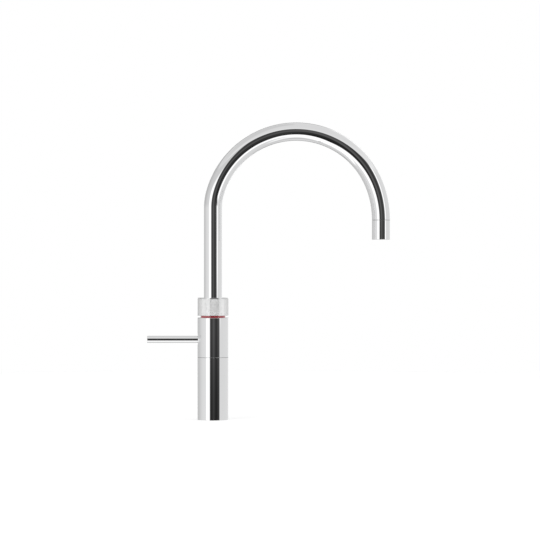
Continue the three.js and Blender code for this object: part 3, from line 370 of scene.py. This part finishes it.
def turned_faces(columns, count):
    """Faces between closed outlines of count points each, which stand all round an axis."""
    faces = []
    for column in range(columns):
        here = column * count
        there = (column + 1) % columns * count
        for i in range(count):
            j = (i + 1) % count
            faces.append((here + i, there + i, there + j, here + j))
    return faces


def tube_faces(rows, sides):
    """Faces between rings of points that follow each other, one more ring than rows."""
    faces = []
    for row in range(rows):
        here, above = row * sides, (row + 1) * sides
        for side in range(sides):
            there = (side + 1) % sides
            faces.append((here + side, here + there, above + there, above + side))
    return faces


def lathe(outline, sides):
    """Vertices and faces of a closed outline turned about Z."""
    vertices = []
    for side in range(sides):
        angle = 2 * math.pi * side / sides
        vertices += [cylinder_point(radius, angle, height) for radius, height in outline]
    return vertices, turned_faces(sides, len(outline))


def painted(piece, material, low, high):
    """The faces whose middles lie between two heights take another material."""
    piece.data.materials.append(material)
    for face in piece.data.polygons:
        if low <= face.center.z <= high:
            face.material_index = len(piece.data.materials) - 1


def placed(vertices, matrix):
    return [tuple(matrix @ Vector(v)) for v in vertices]


ON_LEVER = Matrix.Translation((0, 0, LEVER_HEIGHT)) @ Matrix.Rotation(math.radians(90), 4, "Y")
ON_NOZZLE = Matrix.Translation((REACH, 0, 0))


def turned(name, corners, material, body, stands_for, sides=ROUND_STEPS, matrix=None):
    """A piece turned from the corners of its outline, about Z or the axis that the matrix sets."""
    vertices, faces = lathe(rounded(corners), sides)
    if matrix is not None:
        vertices = placed(vertices, matrix)
    return make_piece(name, vertices, faces, material, body, stands_for)

# ------------------------------------------------------------------ the body's shells

turned("base_shell", [
    (BODY_RADIUS, 0, FINE_EDGE), (BODY_RADIUS, LOWER_TOP, FINE_EDGE),
    (SEAL_SEAT_RADIUS, LOWER_TOP, 0), (SEAL_SEAT_RADIUS, LOWER_TOP - SEAL_SEAT_DEPTH, 0),
    (SPIGOT_RADIUS, LOWER_TOP - SEAL_SEAT_DEPTH, 0), (SPIGOT_RADIUS, JOINT_SPIGOT_TOP, BODY_EDGE),
    (SPIGOT_BORE, JOINT_SPIGOT_TOP, 0), (SPIGOT_BORE, SPIGOT_BORE_BOTTOM, 0),
    (LOWER_BORE, LOWER_BORE_TOP, 0), (LOWER_BORE, BASE_THICKNESS, 0),
    (SHANK_HOLE, BASE_THICKNESS, 0), (SHANK_HOLE, 0, 0),
    (GASKET_GROOVE_INNER, 0, 0), (GASKET_GROOVE_INNER, GASKET_GROOVE_DEPTH, 0),
    (GASKET_GROOVE_OUTER, GASKET_GROOVE_DEPTH, 0), (GASKET_GROOVE_OUTER, 0, 0),
], CHROME, "root", ["lower_body_shell"])


def holed_wall(radius, bottom, top, hole):
    """A round wall with a round side opening on -X, its grid spreading round the opening.

    The first OPENING_SPOKES vertices are the opening's rim."""
    patch = math.asin(OPENING_PATCH / radius)
    low, high = LEVER_HEIGHT - OPENING_PATCH, LEVER_HEIGHT + OPENING_PATCH
    vertices = []
    for ring in range(OPENING_RINGS + 1):
        t = (ring / OPENING_RINGS) ** OPENING_SPREAD
        for spoke in range(OPENING_SPOKES):
            turn = 2 * math.pi * spoke / OPENING_SPOKES
            across, up = math.cos(turn), math.sin(turn)
            square = 1 / max(abs(across), abs(up))
            inner = (math.asin(hole * across / radius), hole * up)
            outer = (patch * across * square, OPENING_PATCH * up * square)
            around = inner[0] + (outer[0] - inner[0]) * t
            height = inner[1] + (outer[1] - inner[1]) * t
            vertices.append(cylinder_point(radius, math.pi - around, LEVER_HEIGHT + height))
    faces = tube_faces(OPENING_RINGS, OPENING_SPOKES)
    edge_steps = OPENING_SPOKES // 4
    # Where the spokes meet the sides of the square patch, from -1 to 1 along a side.
    stops = [math.tan(math.pi / 4 * (2 * i / edge_steps - 1)) for i in range(edge_steps + 1)]
    across_patch = [math.pi - patch * stop for stop in stops]
    up_patch = [LEVER_HEIGHT + OPENING_PATCH * stop for stop in stops]
    rest = 2 * math.pi - 2 * patch
    around_rest = [math.pi + patch + rest * i / WALL_STEPS for i in range(WALL_STEPS + 1)]
    grids = [
        (around_rest, [bottom, low, *up_patch[1:-1], high, top]),
        (across_patch, [bottom, low]),
        (across_patch, [high, top]),
    ]
    for angles, heights in grids:
        start = len(vertices)
        vertices += [cylinder_point(radius, angle, height)
                     for height in heights for angle in angles]
        width = len(angles)
        for row in range(len(heights) - 1):
            for i in range(width - 1):
                here = start + row * width + i
                faces.append((here, here + 1, here + 1 + width, here + width))
    return vertices, faces


def upper_shell():
    """The body's upper shell: outer wall with the lever's opening, top plate and inner wall."""
    wall_bottom, wall_top = UPPER_BOTTOM + FINE_EDGE, BODY_TOP - BODY_EDGE
    inside_top = BODY_TOP - TOP_PLATE
    outer, faces = holed_wall(BODY_RADIUS, wall_bottom, wall_top, LEVER_OPENING)
    inner, inner_faces = holed_wall(UPPER_BORE, UPPER_BOTTOM, inside_top, LEVER_OPENING_INSIDE)
    shift = len(outer)
    faces += [tuple(i + shift for i in face) for face in inner_faces]
    for i in range(OPENING_SPOKES):
        j = (i + 1) % OPENING_SPOKES
        faces.append((i, j, j + shift, i + shift))
    mesh = bpy.data.meshes.new("walls")
    mesh.from_pydata(outer + inner, [], faces)
    sheet = bmesh.new()
    sheet.from_mesh(mesh)
    bmesh.ops.remove_doubles(sheet, verts=sheet.verts, dist=SAME_LINE)

    def ring_at(radius, height):
        """The ring's vertices in order, from just past +X round to it."""
        return sorted(
            (v for v in sheet.verts if abs(v.co.z - height) < SAME_LINE
             and abs(math.hypot(v.co.x, v.co.y) - radius) < SAME_LINE),
            key=lambda v: (math.atan2(v.co.y, v.co.x) - RING_SEAM) % (2 * math.pi),
        )

    def joined(first, second):
        """A row of faces between two rings of as many vertices."""
        for i in range(len(first)):
            j = (i + 1) % len(first)
            sheet.faces.new((first[i], first[j], second[j], second[i]))

    def carry(ring, profile):
        """Rows of faces from a ring of vertices along the profile's (radius, height) points."""
        for radius, height in profile:
            following = []
            for v in ring:
                angle = math.atan2(v.co.y, v.co.x)
                following.append(sheet.verts.new(cylinder_point(radius, angle, height)))
            joined(ring, following)
            ring = following
        return ring

    shoulder = [
        (BODY_RADIUS - BODY_EDGE * (1 - math.cos(a)), BODY_TOP - BODY_EDGE * (1 - math.sin(a)))
        for a in (math.radians(degrees) for degrees in (15, 30, 45, 60, 75, 90))
    ]
    top_ring = carry(ring_at(BODY_RADIUS, wall_top),
                     [*shoulder, (LIGHT_HOLE, BODY_TOP), (LIGHT_HOLE, inside_top)])
    joined(top_ring, ring_at(UPPER_BORE, inside_top))
    inset = FINE_EDGE * FINE_EDGE_MIDDLE
    lower_ring = carry(ring_at(BODY_RADIUS, wall_bottom),
                       [(BODY_RADIUS - inset, UPPER_BOTTOM + inset),
                        (BODY_RADIUS - FINE_EDGE, UPPER_BOTTOM)])
    joined(lower_ring, ring_at(UPPER_BORE, UPPER_BOTTOM))
    sheet.verts.index_update()
    vertices = [tuple(v.co) for v in sheet.verts]
    faces = [tuple(v.index for v in f.verts) for f in sheet.faces]
    sheet.free()
    bpy.data.meshes.remove(mesh)
    return vertices, faces


def true_round(piece, radius):
    """Normals straight out all over the wall of this radius, and as they were elsewhere."""
    mesh = piece.data
    normals = [tuple(corner.vector) for corner in mesh.corner_normals]
    for face in mesh.polygons:
        corners = [mesh.vertices[mesh.loops[loop].vertex_index].co for loop in face.loop_indices]
        if all(abs(math.hypot(co.x, co.y) - radius) < SAME_LINE for co in corners):
            for loop, co in zip(face.loop_indices, corners):
                normals[loop] = (co.x / radius, co.y / radius, 0)
    mesh.normals_split_custom_set(normals)
    piece.modifiers.remove(piece.modifiers["normals"])


shell_vertices, shell_faces = upper_shell()
shell = make_piece("body_shell", shell_vertices, shell_faces, CHROME, "root",
                   ["upper_body_shell"])
true_round(shell, BODY_RADIUS)

# ------------------------------------------------------------------ light ring and knob

turned("light_band", [
    (LIGHT_BORE, LIGHT_FLANGE_TOP - LIGHT_FLANGE_THICKNESS, 0),
    (LIGHT_FLANGE_RADIUS, LIGHT_FLANGE_TOP - LIGHT_FLANGE_THICKNESS, 0),
    (LIGHT_FLANGE_RADIUS, LIGHT_FLANGE_TOP, 0), (LIGHT_RADIUS, LIGHT_FLANGE_TOP, 0),
    (LIGHT_RADIUS, top_of("light_ring"), LIGHT_EDGE), (LIGHT_BORE, top_of("light_ring"), 0),
], RED_LENS, "root", ["light_ring"])


def knurled_ring():
    """A ring with rows of four-sided points between two plain rims."""
    low = KNOB_BOTTOM + KNURL_RIM
    high = KNOB_RING_TOP - KNURL_RIM
    columns = KNURL_STEPS * round(2 * math.pi * KNOB_RADIUS / KNURL_PITCH)
    rows = KNURL_STEPS * round((high - low) / KNURL_PITCH)
    heights = [low + (high - low) * i / rows for i in range(rows + 1)]
    root = KNOB_RADIUS - KNURL_DEPTH

    def skin(column, line):
        """Radius of the knurl: two crossing sets of grooves."""
        first = (column + line) / KNURL_STEPS
        second = (column - line) / KNURL_STEPS
        groove = max(abs(2 * (first % 1) - 1), abs(2 * (second % 1) - 1), KNURL_FLAT)
        return KNOB_RADIUS - KNURL_TIP_INSET - KNURL_DEPTH * (groove - KNURL_FLAT)

    lower_rim = [
        (KNOB_BORE, KNOB_BOTTOM), (KNOB_RADIUS - FINE_EDGE, KNOB_BOTTOM),
        (KNOB_RADIUS, KNOB_BOTTOM + FINE_EDGE), (KNOB_RADIUS, low - KNURL_RUNOUT), (root, low),
    ]
    upper_rim = [
        (root, high), (KNOB_RADIUS, high + KNURL_RUNOUT), (KNOB_RADIUS, KNOB_RING_TOP - FINE_EDGE),
        (KNOB_RADIUS - FINE_EDGE, KNOB_RING_TOP), (KNOB_BORE, KNOB_RING_TOP),
    ]
    vertices = []
    for column in range(columns):
        angle = 2 * math.pi * column / columns
        points = [(skin(column, line), height) for line, height in enumerate(heights)]
        vertices += [cylinder_point(radius, angle, height)
                     for radius, height in (*lower_rim, *points, *upper_rim)]
    return vertices, turned_faces(columns, len(vertices) // columns)


knurl_vertices, knurl_faces = knurled_ring()
grip = make_piece("knurled_grip", knurl_vertices, knurl_faces, KNURL, "knob",
                  ["knob_ring"], sharp=20)

cap = turned("knob_top", [
    (CAP_BORE, KNOB_TOP, 0), (CAP_BORE, CAP_BOTTOM, 0), (CAP_SKIRT_RADIUS, CAP_BOTTOM, 0),
    (CAP_SKIRT_RADIUS, CAP_BRIM, 0), (CAP_RADIUS, CAP_BRIM, FINE_EDGE),
    (CAP_RADIUS, KNOB_TOP, CAP_EDGE),
], CHROME, "knob", ["knob_cap"])
# The faces of the groove between the ring and the cap's brim take a near-black finish: painted
# shade, as the chrome gap would otherwise mirror light back out.
for piece in (grip, cap):
    painted(piece, GROOVE_SHADE, KNOB_RING_TOP - GROOVE_PAINT_MARGIN, CAP_BRIM + GROOVE_PAINT_MARGIN)

# ------------------------------------------------------------------ the neck


def neck_line():
    """Points of the neck's centreline with their directions, (x, z, angle from upright)."""
    lead_in_reach = LEAD_IN_RADIUS * (1 - math.cos(LEAD_IN_ANGLE))
    run_out_reach = RUN_OUT_RADIUS * (1 - math.cos(RUN_OUT_ANGLE))
    main_radius = (REACH - lead_in_reach - run_out_reach) / (
        math.cos(LEAD_IN_ANGLE) + math.cos(RUN_OUT_ANGLE))
    main_height = NECK_TOP - PIPE_RADIUS - main_radius
    main_x = lead_in_reach + main_radius * math.cos(LEAD_IN_ANGLE)
    lead_in_height = main_height + (main_radius - LEAD_IN_RADIUS) * math.sin(LEAD_IN_ANGLE)
    run_out_height = main_height + (main_radius - RUN_OUT_RADIUS) * math.sin(RUN_OUT_ANGLE)
    arcs = [
        (LEAD_IN_RADIUS, lead_in_height, LEAD_IN_RADIUS,
         math.pi, math.pi - LEAD_IN_ANGLE, LEAD_IN_STEPS),
        (main_x, main_height, main_radius,
         math.pi - LEAD_IN_ANGLE, RUN_OUT_ANGLE, MAIN_BEND_STEPS),
        (REACH - RUN_OUT_RADIUS, run_out_height, RUN_OUT_RADIUS,
         RUN_OUT_ANGLE, 0, RUN_OUT_STEPS),
    ]
    line = [(0, PIPE_BOTTOM, math.pi)]
    for centre_x, centre_z, radius, start, end, steps in arcs:
        for i in range(steps + 1):
            angle = start + (end - start) * i / steps
            x, z = centre_x + radius * math.cos(angle), centre_z + radius * math.sin(angle)
            if math.dist((x, z), line[-1][:2]) > SAME_POINT:
                line.append((x, z, angle))
    line.append((REACH, PIPE_END, 0))
    return line


def neck_pipe():
    """The neck's tube, open at both ends."""
    line = neck_line()
    outer = []
    inner = []
    for x, z, angle in line:
        for skin, radius in ((outer, PIPE_RADIUS), (inner, PIPE_BORE)):
            for side in range(PIPE_SIDES):
                turn = 2 * math.pi * side / PIPE_SIDES
                away = radius * math.cos(turn)
                skin.append((x + away * math.cos(angle), radius * math.sin(turn),
                             z + away * math.sin(angle)))
    shift = len(outer)
    faces = []
    for face in tube_faces(len(line) - 1, PIPE_SIDES):
        faces += [face, tuple(i + shift for i in reversed(face))]
    for end in (0, shift - PIPE_SIDES):
        for side in range(PIPE_SIDES):
            here, there = end + side, end + (side + 1) % PIPE_SIDES
            faces.append((here, there, there + shift, here + shift))
    return outer + inner, faces


pipe_vertices, pipe_faces = neck_pipe()
make_piece("neck_pipe", pipe_vertices, pipe_faces, CHROME, "spout", ["spout_pipe"],
           sharp=50)

turned("nozzle_tube", [
    (NOZZLE_MOUTH, NOZZLE_BOTTOM, FINE_EDGE), (PIPE_RADIUS, NOZZLE_BOTTOM, FINE_EDGE),
    (PIPE_RADIUS, NOZZLE_TOP, FINE_EDGE), (NOZZLE_BORE, NOZZLE_TOP, 0),
    (NOZZLE_BORE, NOZZLE_BOTTOM + NOZZLE_LIP, 0), (NOZZLE_MOUTH, NOZZLE_BOTTOM + NOZZLE_LIP, 0),
], CHROME, "spout", ["nozzle_sleeve"], sides=NOZZLE_SIDES, matrix=ON_NOZZLE)

# ------------------------------------------------------------------ the lever


def dome_arc(radius, start, end, steps):
    """Points round the lever's pivot, from the lever's side of it."""
    angles = [start + (end - start) * i / steps for i in range(steps + 1)]
    return [(radius * math.sin(a), PIVOT_X - radius * math.cos(a), 0) for a in angles]


turned("lever_bar", [
    (0, LEVER_TIP, 0), (LEVER_RADIUS, LEVER_TIP, LEVER_TIP_EDGE),
    (LEVER_RADIUS, LEVER_ROOT, FINE_EDGE), (STUD_HOLE, LEVER_ROOT, 0),
    (STUD_HOLE, STUD_HOLE_END, 0), (0, STUD_HOLE_END, 0),
], CHROME, "lever", ["lever_rod"], sides=LEVER_SIDES, matrix=ON_LEVER)

flat_angle = math.acos((PIVOT_X - DOME_TIP) / DOME_RADIUS)
turned("lever_root_dome", [
    (STUD_HOLE, DOME_TIP, 0),
    *dome_arc(DOME_RADIUS, flat_angle, DOME_RIM, DOME_STEPS),
    *dome_arc(DOME_INNER, DOME_RIM, math.asin(STUD_HOLE / DOME_INNER), DOME_INNER_STEPS),
], CHROME, "lever", ["lever_dome"], sides=LEVER_SIDES, matrix=ON_LEVER)

# ------------------------------------------------------------------ the springs


def spring(name, node, joint, wire, coils, body):
    """A coil of round wire that fills its CAD node's box."""
    wire_sides = 10
    steps_per_coil = 32
    steps = coils * steps_per_coil
    low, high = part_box(node)
    centre_x, centre_y = (low[0] + high[0]) / 2, (low[1] + high[1]) / 2
    radius = (high[0] - low[0]) / 2 - wire
    bottom, top = low[2] + wire, high[2] - wire
    vertices = []
    for i in range(steps + 1):
        angle = 2 * math.pi * i / steps_per_coil
        height = bottom + (top - bottom) * i / steps
        for side in range(wire_sides):
            turn = 2 * math.pi * side / wire_sides
            x, y, z = cylinder_point(radius + wire * math.cos(turn), angle,
                                     height + wire * math.sin(turn))
            vertices.append((centre_x + x, centre_y + y, z))
    faces = [
        tuple(range(wire_sides)), tuple(range(len(vertices) - wire_sides, len(vertices))),
        *tube_faces(steps, wire_sides),
    ]
    piece = make_piece(name, vertices, faces, STEEL, body, [node])
    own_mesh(piece)


spring("knob_spring_coil", "knob_return_spring", *KNOB_SPRING)
spring("valve_spring_coil", "boiling_valve_spring", *VALVE_SPRING)

# ------------------------------------------------------------------ under the worktop


def threaded_tube():
    """The fixing shank: a plain top and a helical thread below it."""
    sides = 72
    rows_per_turn = 8
    rows = int((THREAD_TOP - SHANK_BOTTOM) / THREAD_PITCH * rows_per_turn)
    vertices = []
    for side in range(sides):
        angle = 2 * math.pi * side / sides
        column = [(SHANK_BORE, SHANK_BOTTOM)]
        for row in range(rows + 1):
            height = SHANK_BOTTOM + (THREAD_TOP - SHANK_BOTTOM) * row / rows
            phase = (height / THREAD_PITCH - side / sides) % 1
            # The thread grows out of the root over one pitch at each end.
            ends = min(1.0, (height - SHANK_BOTTOM) / THREAD_PITCH,
                       (THREAD_TOP - height) / THREAD_PITCH)
            depth = THREAD_DEPTH * (1 - abs(2 * phase - 1)) * ends + THREAD_DEPTH * (1 - ends)
            column.append((SHANK_RADIUS - depth, height))
        column += [(SHANK_RADIUS, THREAD_TOP), (SHANK_RADIUS, SHANK_TOP), (SHANK_BORE, SHANK_TOP)]
        vertices += [cylinder_point(radius, angle, height) for radius, height in column]
    return vertices, turned_faces(sides, len(vertices) // sides)


shank_vertices, shank_faces = threaded_tube()
make_piece("fixing_shank", shank_vertices, shank_faces, BRASS, "root", ["threaded_shank"])

WASHERS = [
    ("soft_washer", "rubber_washer", "rubber", 0.5 * MM),
    ("steel_washer", "clamp_washer", "steel", 0.3 * MM),
]
for name, node, slot, edge in WASHERS:
    low, high = bottom_of(node), top_of(node)
    outer = radius_of(node)
    turned(name, [
        (WASHER_BORE, low, 0), (outer, low, edge), (outer, high, edge), (WASHER_BORE, high, 0),
    ], SLOT_MATERIALS[slot], "root", [node], sides=WASHER_SIDES)

for node in ("back_nut", "base_gasket"):
    bevel = frame["nodes"][node].modifiers.new("edges", "BEVEL")
    bevel.width = FIXING_EDGE
    bevel.segments = FIXING_EDGE_STEPS
    bevel.limit_method = "ANGLE"

# ------------------------------------------------------------------ studio

WHITE = (1, 1, 1, 1)


def math_node(nodes, links, operation, first, second=None):
    """The result of a math node fed by sockets or plain numbers."""
    node = nodes.new("ShaderNodeMath")
    node.operation = operation
    for index, value in enumerate((first, second)):
        if value is None:
            continue
        if isinstance(value, (int, float)):
            node.inputs[index].default_value = value
        else:
            links.new(value, node.inputs[index])
    return node.outputs["Value"]


def tone_ramp(nodes, links, degrees, low, high, stops):
    """Grey by an angle in degrees between low and high; stops are (angle, tone) pairs."""
    place = nodes.new("ShaderNodeMapRange")
    place.inputs["From Min"].default_value = low
    place.inputs["From Max"].default_value = high
    links.new(degrees, place.inputs["Value"])
    ramp = nodes.new("ShaderNodeValToRGB")
    ramp.color_ramp.interpolation = "LINEAR"
    elements = ramp.color_ramp.elements
    while len(elements) > 1:
        elements.remove(elements[-1])
    for index, (angle, tone) in enumerate(stops):
        position = (angle - low) / (high - low)
        element = elements[0] if index == 0 else elements.new(position)
        element.position = position
        element.color = (tone, tone, tone, 1)
    links.new(place.outputs["Result"], ramp.inputs["Fac"])
    return ramp.outputs["Color"]


# What the studio shows all round at the tap's height, by bearing from the front: pale walls, a
# white strip light at the left of a black flag with a faint paler seam, and the same at the back.
WALLS = [
    (-180, 0.06), (-172, 0.06), (-168, 0.58), (-141, 0.58), (-123, 0.60), (-109, 0.66),
    (-97, 0.71), (-86, 0.75), (-58, 0.79), (-53, 0.84), (-49, 1.20), (-26, 1.20), (-23, 0.60),
    (-20, 0.075), (-12, 0.045), (-5, 0.052), (3, 0.095), (10, 0.082), (18, 0.048), (26, 0.030),
    (33, 0.060), (45, 0.065), (49, 0.22), (54, 0.76), (65, 0.73), (134, 0.76), (150, 0.74),
    (153, 1.25), (168, 1.25), (171, 0.08), (180, 0.06),
]
# A table named REACH says at which heights over the horizon, in degrees, a thing shows.
WALLS_REACH = [(-90, 0), (-42, 0), (-38, 1), (29, 1), (33, 0), (90, 0)]
# Above and below, by height over the horizon: a white sweep underneath, a pale ceiling on top.
SWEEP = [
    (-90, 0.72), (-80, 0.95), (-70, 1.20), (-38, 1.20), (-34, 0.90), (31, 0.90), (37, 0.82),
    (50, 0.75), (90, 0.74),
]
# The flag's tone falls off below the tap's middle, and a slim strip light hangs at its right.
FLAG_SHADE = [
    (-90, 0.3), (-25, 0.3), (-12, 0.42), (-8, 0.4), (-3.2, 0.45), (-2.4, 0.65), (-1.4, 1.0),
    (0.3, 1.0), (1.5, 1.2), (12, 1.0), (90, 1.0),
]
IN_FLAG = [(-180, 0), (-24, 0), (-20, 1), (45, 1), (50, 0), (180, 0)]
SLIM_STRIP = [(-180, 0), (46, 0), (49, 0.5), (60, 0.5), (63, 0), (180, 0)]
SLIM_STRIP_REACH = [(-90, 0), (-1.1, 0), (-0.3, 1), (28, 1), (32, 0), (90, 0)]
# The left strip light ends below the tap's top, and the walls over it are a shade darker.
OVER_STRIP = [(-180, 0), (-165, 1), (-25, 1), (-21, 0), (180, 0)]
OVER_STRIP_REACH = [(-90, 0), (14, 0), (20, 1), (31, 1), (35, 0), (90, 0)]
OVER_STRIP_TONES = [
    (-180, 0.46), (-141, 0.50), (-110, 0.58), (-86, 0.64), (-21, 0.66), (180, 0.66),
]
LEFT_SHADE = [(-180, 1), (-165, 0.86), (-86, 0.88), (-56, 0.9), (-50, 1), (180, 1)]
LEFT_SHADE_REACH = [(-90, 0), (1.5, 0), (5, 1), (90, 1)]
# The flag's lower right corner is round, with a white rim, by how far off the front it lies.
CORNER = [
    (0, 0.04), (22, 0.04), (32, 0.02), (40, 0.02), (47, 1.25), (59, 1.25), (66, 0.75), (100, 0.72),
    (180, 0.6),
]
IN_CORNER = [(-180, 0), (12, 0), (24, 1), (120, 1), (140, 0), (180, 0)]
CORNER_REACH = [(-90, 0), (-75, 0), (-65, 1), (-8.5, 1), (-3.6, 0), (90, 0)]
# The sweep under the tap is in shade at the back, where it comes up higher.
BACK_SHADE = [(-180, 0.62), (-125, 0.52), (-85, 1), (85, 1), (125, 0.52), (180, 0.62)]
BACK_SHADE_REACH = [(-90, 1), (-20, 1), (20, 0), (90, 0)]
IN_BACK = [(-180, 1), (-150, 1), (-146, 0), (146, 0), (150, 1), (180, 1)]
BACK_SWEEP_REACH = [(-90, 1), (-22, 1), (-17, 0), (90, 0)]


def mixed(nodes, links, factor, first, second, blend="MIX"):
    """The second colour over the first, wholly or by a factor's socket."""
    mix = nodes.new("ShaderNodeMix")
    mix.data_type = "RGBA"
    mix.blend_type = blend
    if factor is None:
        mix.inputs["Factor"].default_value = 1.0
    else:
        links.new(factor, mix.inputs["Factor"])
    links.new(first, mix.inputs["A"])
    links.new(second, mix.inputs["B"])
    return mix.outputs["Result"]


def product(nodes, links, first, second):
    return mixed(nodes, links, None, first, second, "MULTIPLY")


def build_world():
    """White to the camera, and the studio of these tables to all that mirrors it."""
    world = bpy.data.worlds.new("studio")
    bpy.context.scene.world = world
    world.use_nodes = True
    nodes, links = world.node_tree.nodes, world.node_tree.links
    direction = nodes.new("ShaderNodeTexCoord")
    unit = nodes.new("ShaderNodeVectorMath")
    unit.operation = "NORMALIZE"
    links.new(direction.outputs["Generated"], unit.inputs[0])
    parts = nodes.new("ShaderNodeSeparateXYZ")
    links.new(unit.outputs["Vector"], parts.inputs["Vector"])
    ahead = math_node(nodes, links, "MULTIPLY", parts.outputs["Y"], -1)

    def in_degrees(operation, *values):
        angle = math_node(nodes, links, operation, *values)
        return math_node(nodes, links, "MULTIPLY", angle, 180 / math.pi)

    bearing = in_degrees("ARCTAN2", parts.outputs["X"], ahead)
    height = in_degrees("ARCSINE", parts.outputs["Z"])
    off_front = in_degrees("ARCCOSINE", ahead)

    def by_bearing(stops):
        return tone_ramp(nodes, links, bearing, -180, 180, stops)

    def by_height(stops):
        return tone_ramp(nodes, links, height, -90, 90, stops)

    def area(across, up):
        """White inside a patch of the studio, black outside it."""
        return product(nodes, links, by_bearing(across), by_height(up))

    walls = by_bearing(WALLS)
    shaded = product(nodes, links, walls, by_height(FLAG_SHADE))
    walls = mixed(nodes, links, by_bearing(IN_FLAG), walls, shaded)
    walls = mixed(nodes, links, None, walls, area(SLIM_STRIP, SLIM_STRIP_REACH), "ADD")
    sweep = by_height(SWEEP)
    shaded = product(nodes, links, sweep, by_bearing(BACK_SHADE))
    sweep = mixed(nodes, links, by_height(BACK_SHADE_REACH), sweep, shaded)
    studio = mixed(nodes, links, by_height(WALLS_REACH), sweep, walls)
    studio = mixed(nodes, links, area(IN_BACK, BACK_SWEEP_REACH), studio, sweep)
    shaded = product(nodes, links, studio, by_bearing(LEFT_SHADE))
    studio = mixed(nodes, links, by_height(LEFT_SHADE_REACH), studio, shaded)
    studio = mixed(nodes, links, area(OVER_STRIP, OVER_STRIP_REACH), studio,
                   by_bearing(OVER_STRIP_TONES))
    studio = mixed(nodes, links, area(IN_CORNER, CORNER_REACH), studio,
                   tone_ramp(nodes, links, off_front, 0, 180, CORNER))
    seen = nodes.new("ShaderNodeLightPath")
    shown = nodes.new("ShaderNodeMix")
    shown.data_type = "RGBA"
    links.new(seen.outputs["Is Camera Ray"], shown.inputs["Factor"])
    links.new(studio, shown.inputs["A"])
    shown.inputs["B"].default_value = WHITE
    background = nodes["Background"]
    links.new(shown.outputs["Result"], background.inputs["Color"])
    background.inputs["Strength"].default_value = 1.0


build_world()

FLOOR_REACH = 1.6
FLOOR_SIDES = 96
FLOOR_TONES = ((0.80, 0.80, 0.80), (0.82, 0.82, 0.82))
FLOOR_ROUGHNESS = 0.9
FLOOR_MOTTLE = 3.0
# What the floor adds to its own colour for the camera, so that it shows white.
FLOOR_LIFT = 0.40


def build_floor():
    """A white floor that keeps the tap's shadow and stays out of the metal's mirror image."""
    rim = [cylinder_point(FLOOR_REACH, 2 * math.pi * i / FLOOR_SIDES, 0)
           for i in range(FLOOR_SIDES)]
    mesh = bpy.data.meshes.new("floor")
    mesh.from_pydata(rim, [], [tuple(range(FLOOR_SIDES))])
    floor = bpy.data.objects.new("floor", mesh)
    bpy.context.scene.collection.objects.link(floor)
    material, nodes, links = new_material("white_floor")
    shader = nodes["Principled BSDF"]
    shader.inputs["Roughness"].default_value = FLOOR_ROUGHNESS
    shader.inputs["Specular IOR Level"].default_value = 0.0
    texture = noise(nodes, links, FLOOR_MOTTLE)
    links.new(tinted(nodes, links, texture.outputs["Fac"], *FLOOR_TONES),
              shader.inputs["Base Color"])
    seen = nodes.new("ShaderNodeLightPath")
    lift = math_node(nodes, links, "MULTIPLY", seen.outputs["Is Camera Ray"], FLOOR_LIFT)
    shader.inputs["Emission Color"].default_value = WHITE
    links.new(lift, shader.inputs["Emission Strength"])
    mesh.materials.append(material)
    floor.visible_glossy = False


build_floor()

LAMP_SIZE = 1.6
LAMP_AIM = Vector((0.08, 0, 0.15))


def soft_lamp(name, place, power):
    """A large soft lamp aimed at the tap's middle, left out of the metal's mirror image."""
    light = bpy.data.lights.new(name, "AREA")
    light.size = LAMP_SIZE
    light.energy = power
    lamp = bpy.data.objects.new(name, light)
    bpy.context.scene.collection.objects.link(lamp)
    lamp.location = place
    aim = LAMP_AIM - lamp.location
    lamp.rotation_euler = aim.to_track_quat("-Z", "Y").to_euler()
    lamp.visible_glossy = False


soft_lamp("key_lamp", (-1.2, -1.6, 2.2), 12)
soft_lamp("fill_lamp", (1.8, -1.0, 1.4), 5)

VIEW_PLACE = (0.0747, -3.3, 0.1963)
VIEW_LENS = 167.7
VIEW_SENSOR = 36
camera = bpy.data.objects.new("camera", bpy.data.cameras.new("camera"))
bpy.context.scene.collection.objects.link(camera)
camera.location = VIEW_PLACE
camera.rotation_euler = (math.radians(90), 0, 0)
camera.data.lens = VIEW_LENS
camera.data.sensor_width = VIEW_SENSOR
bpy.context.scene.camera = camera
bpy.context.scene.view_settings.view_transform = "Standard"
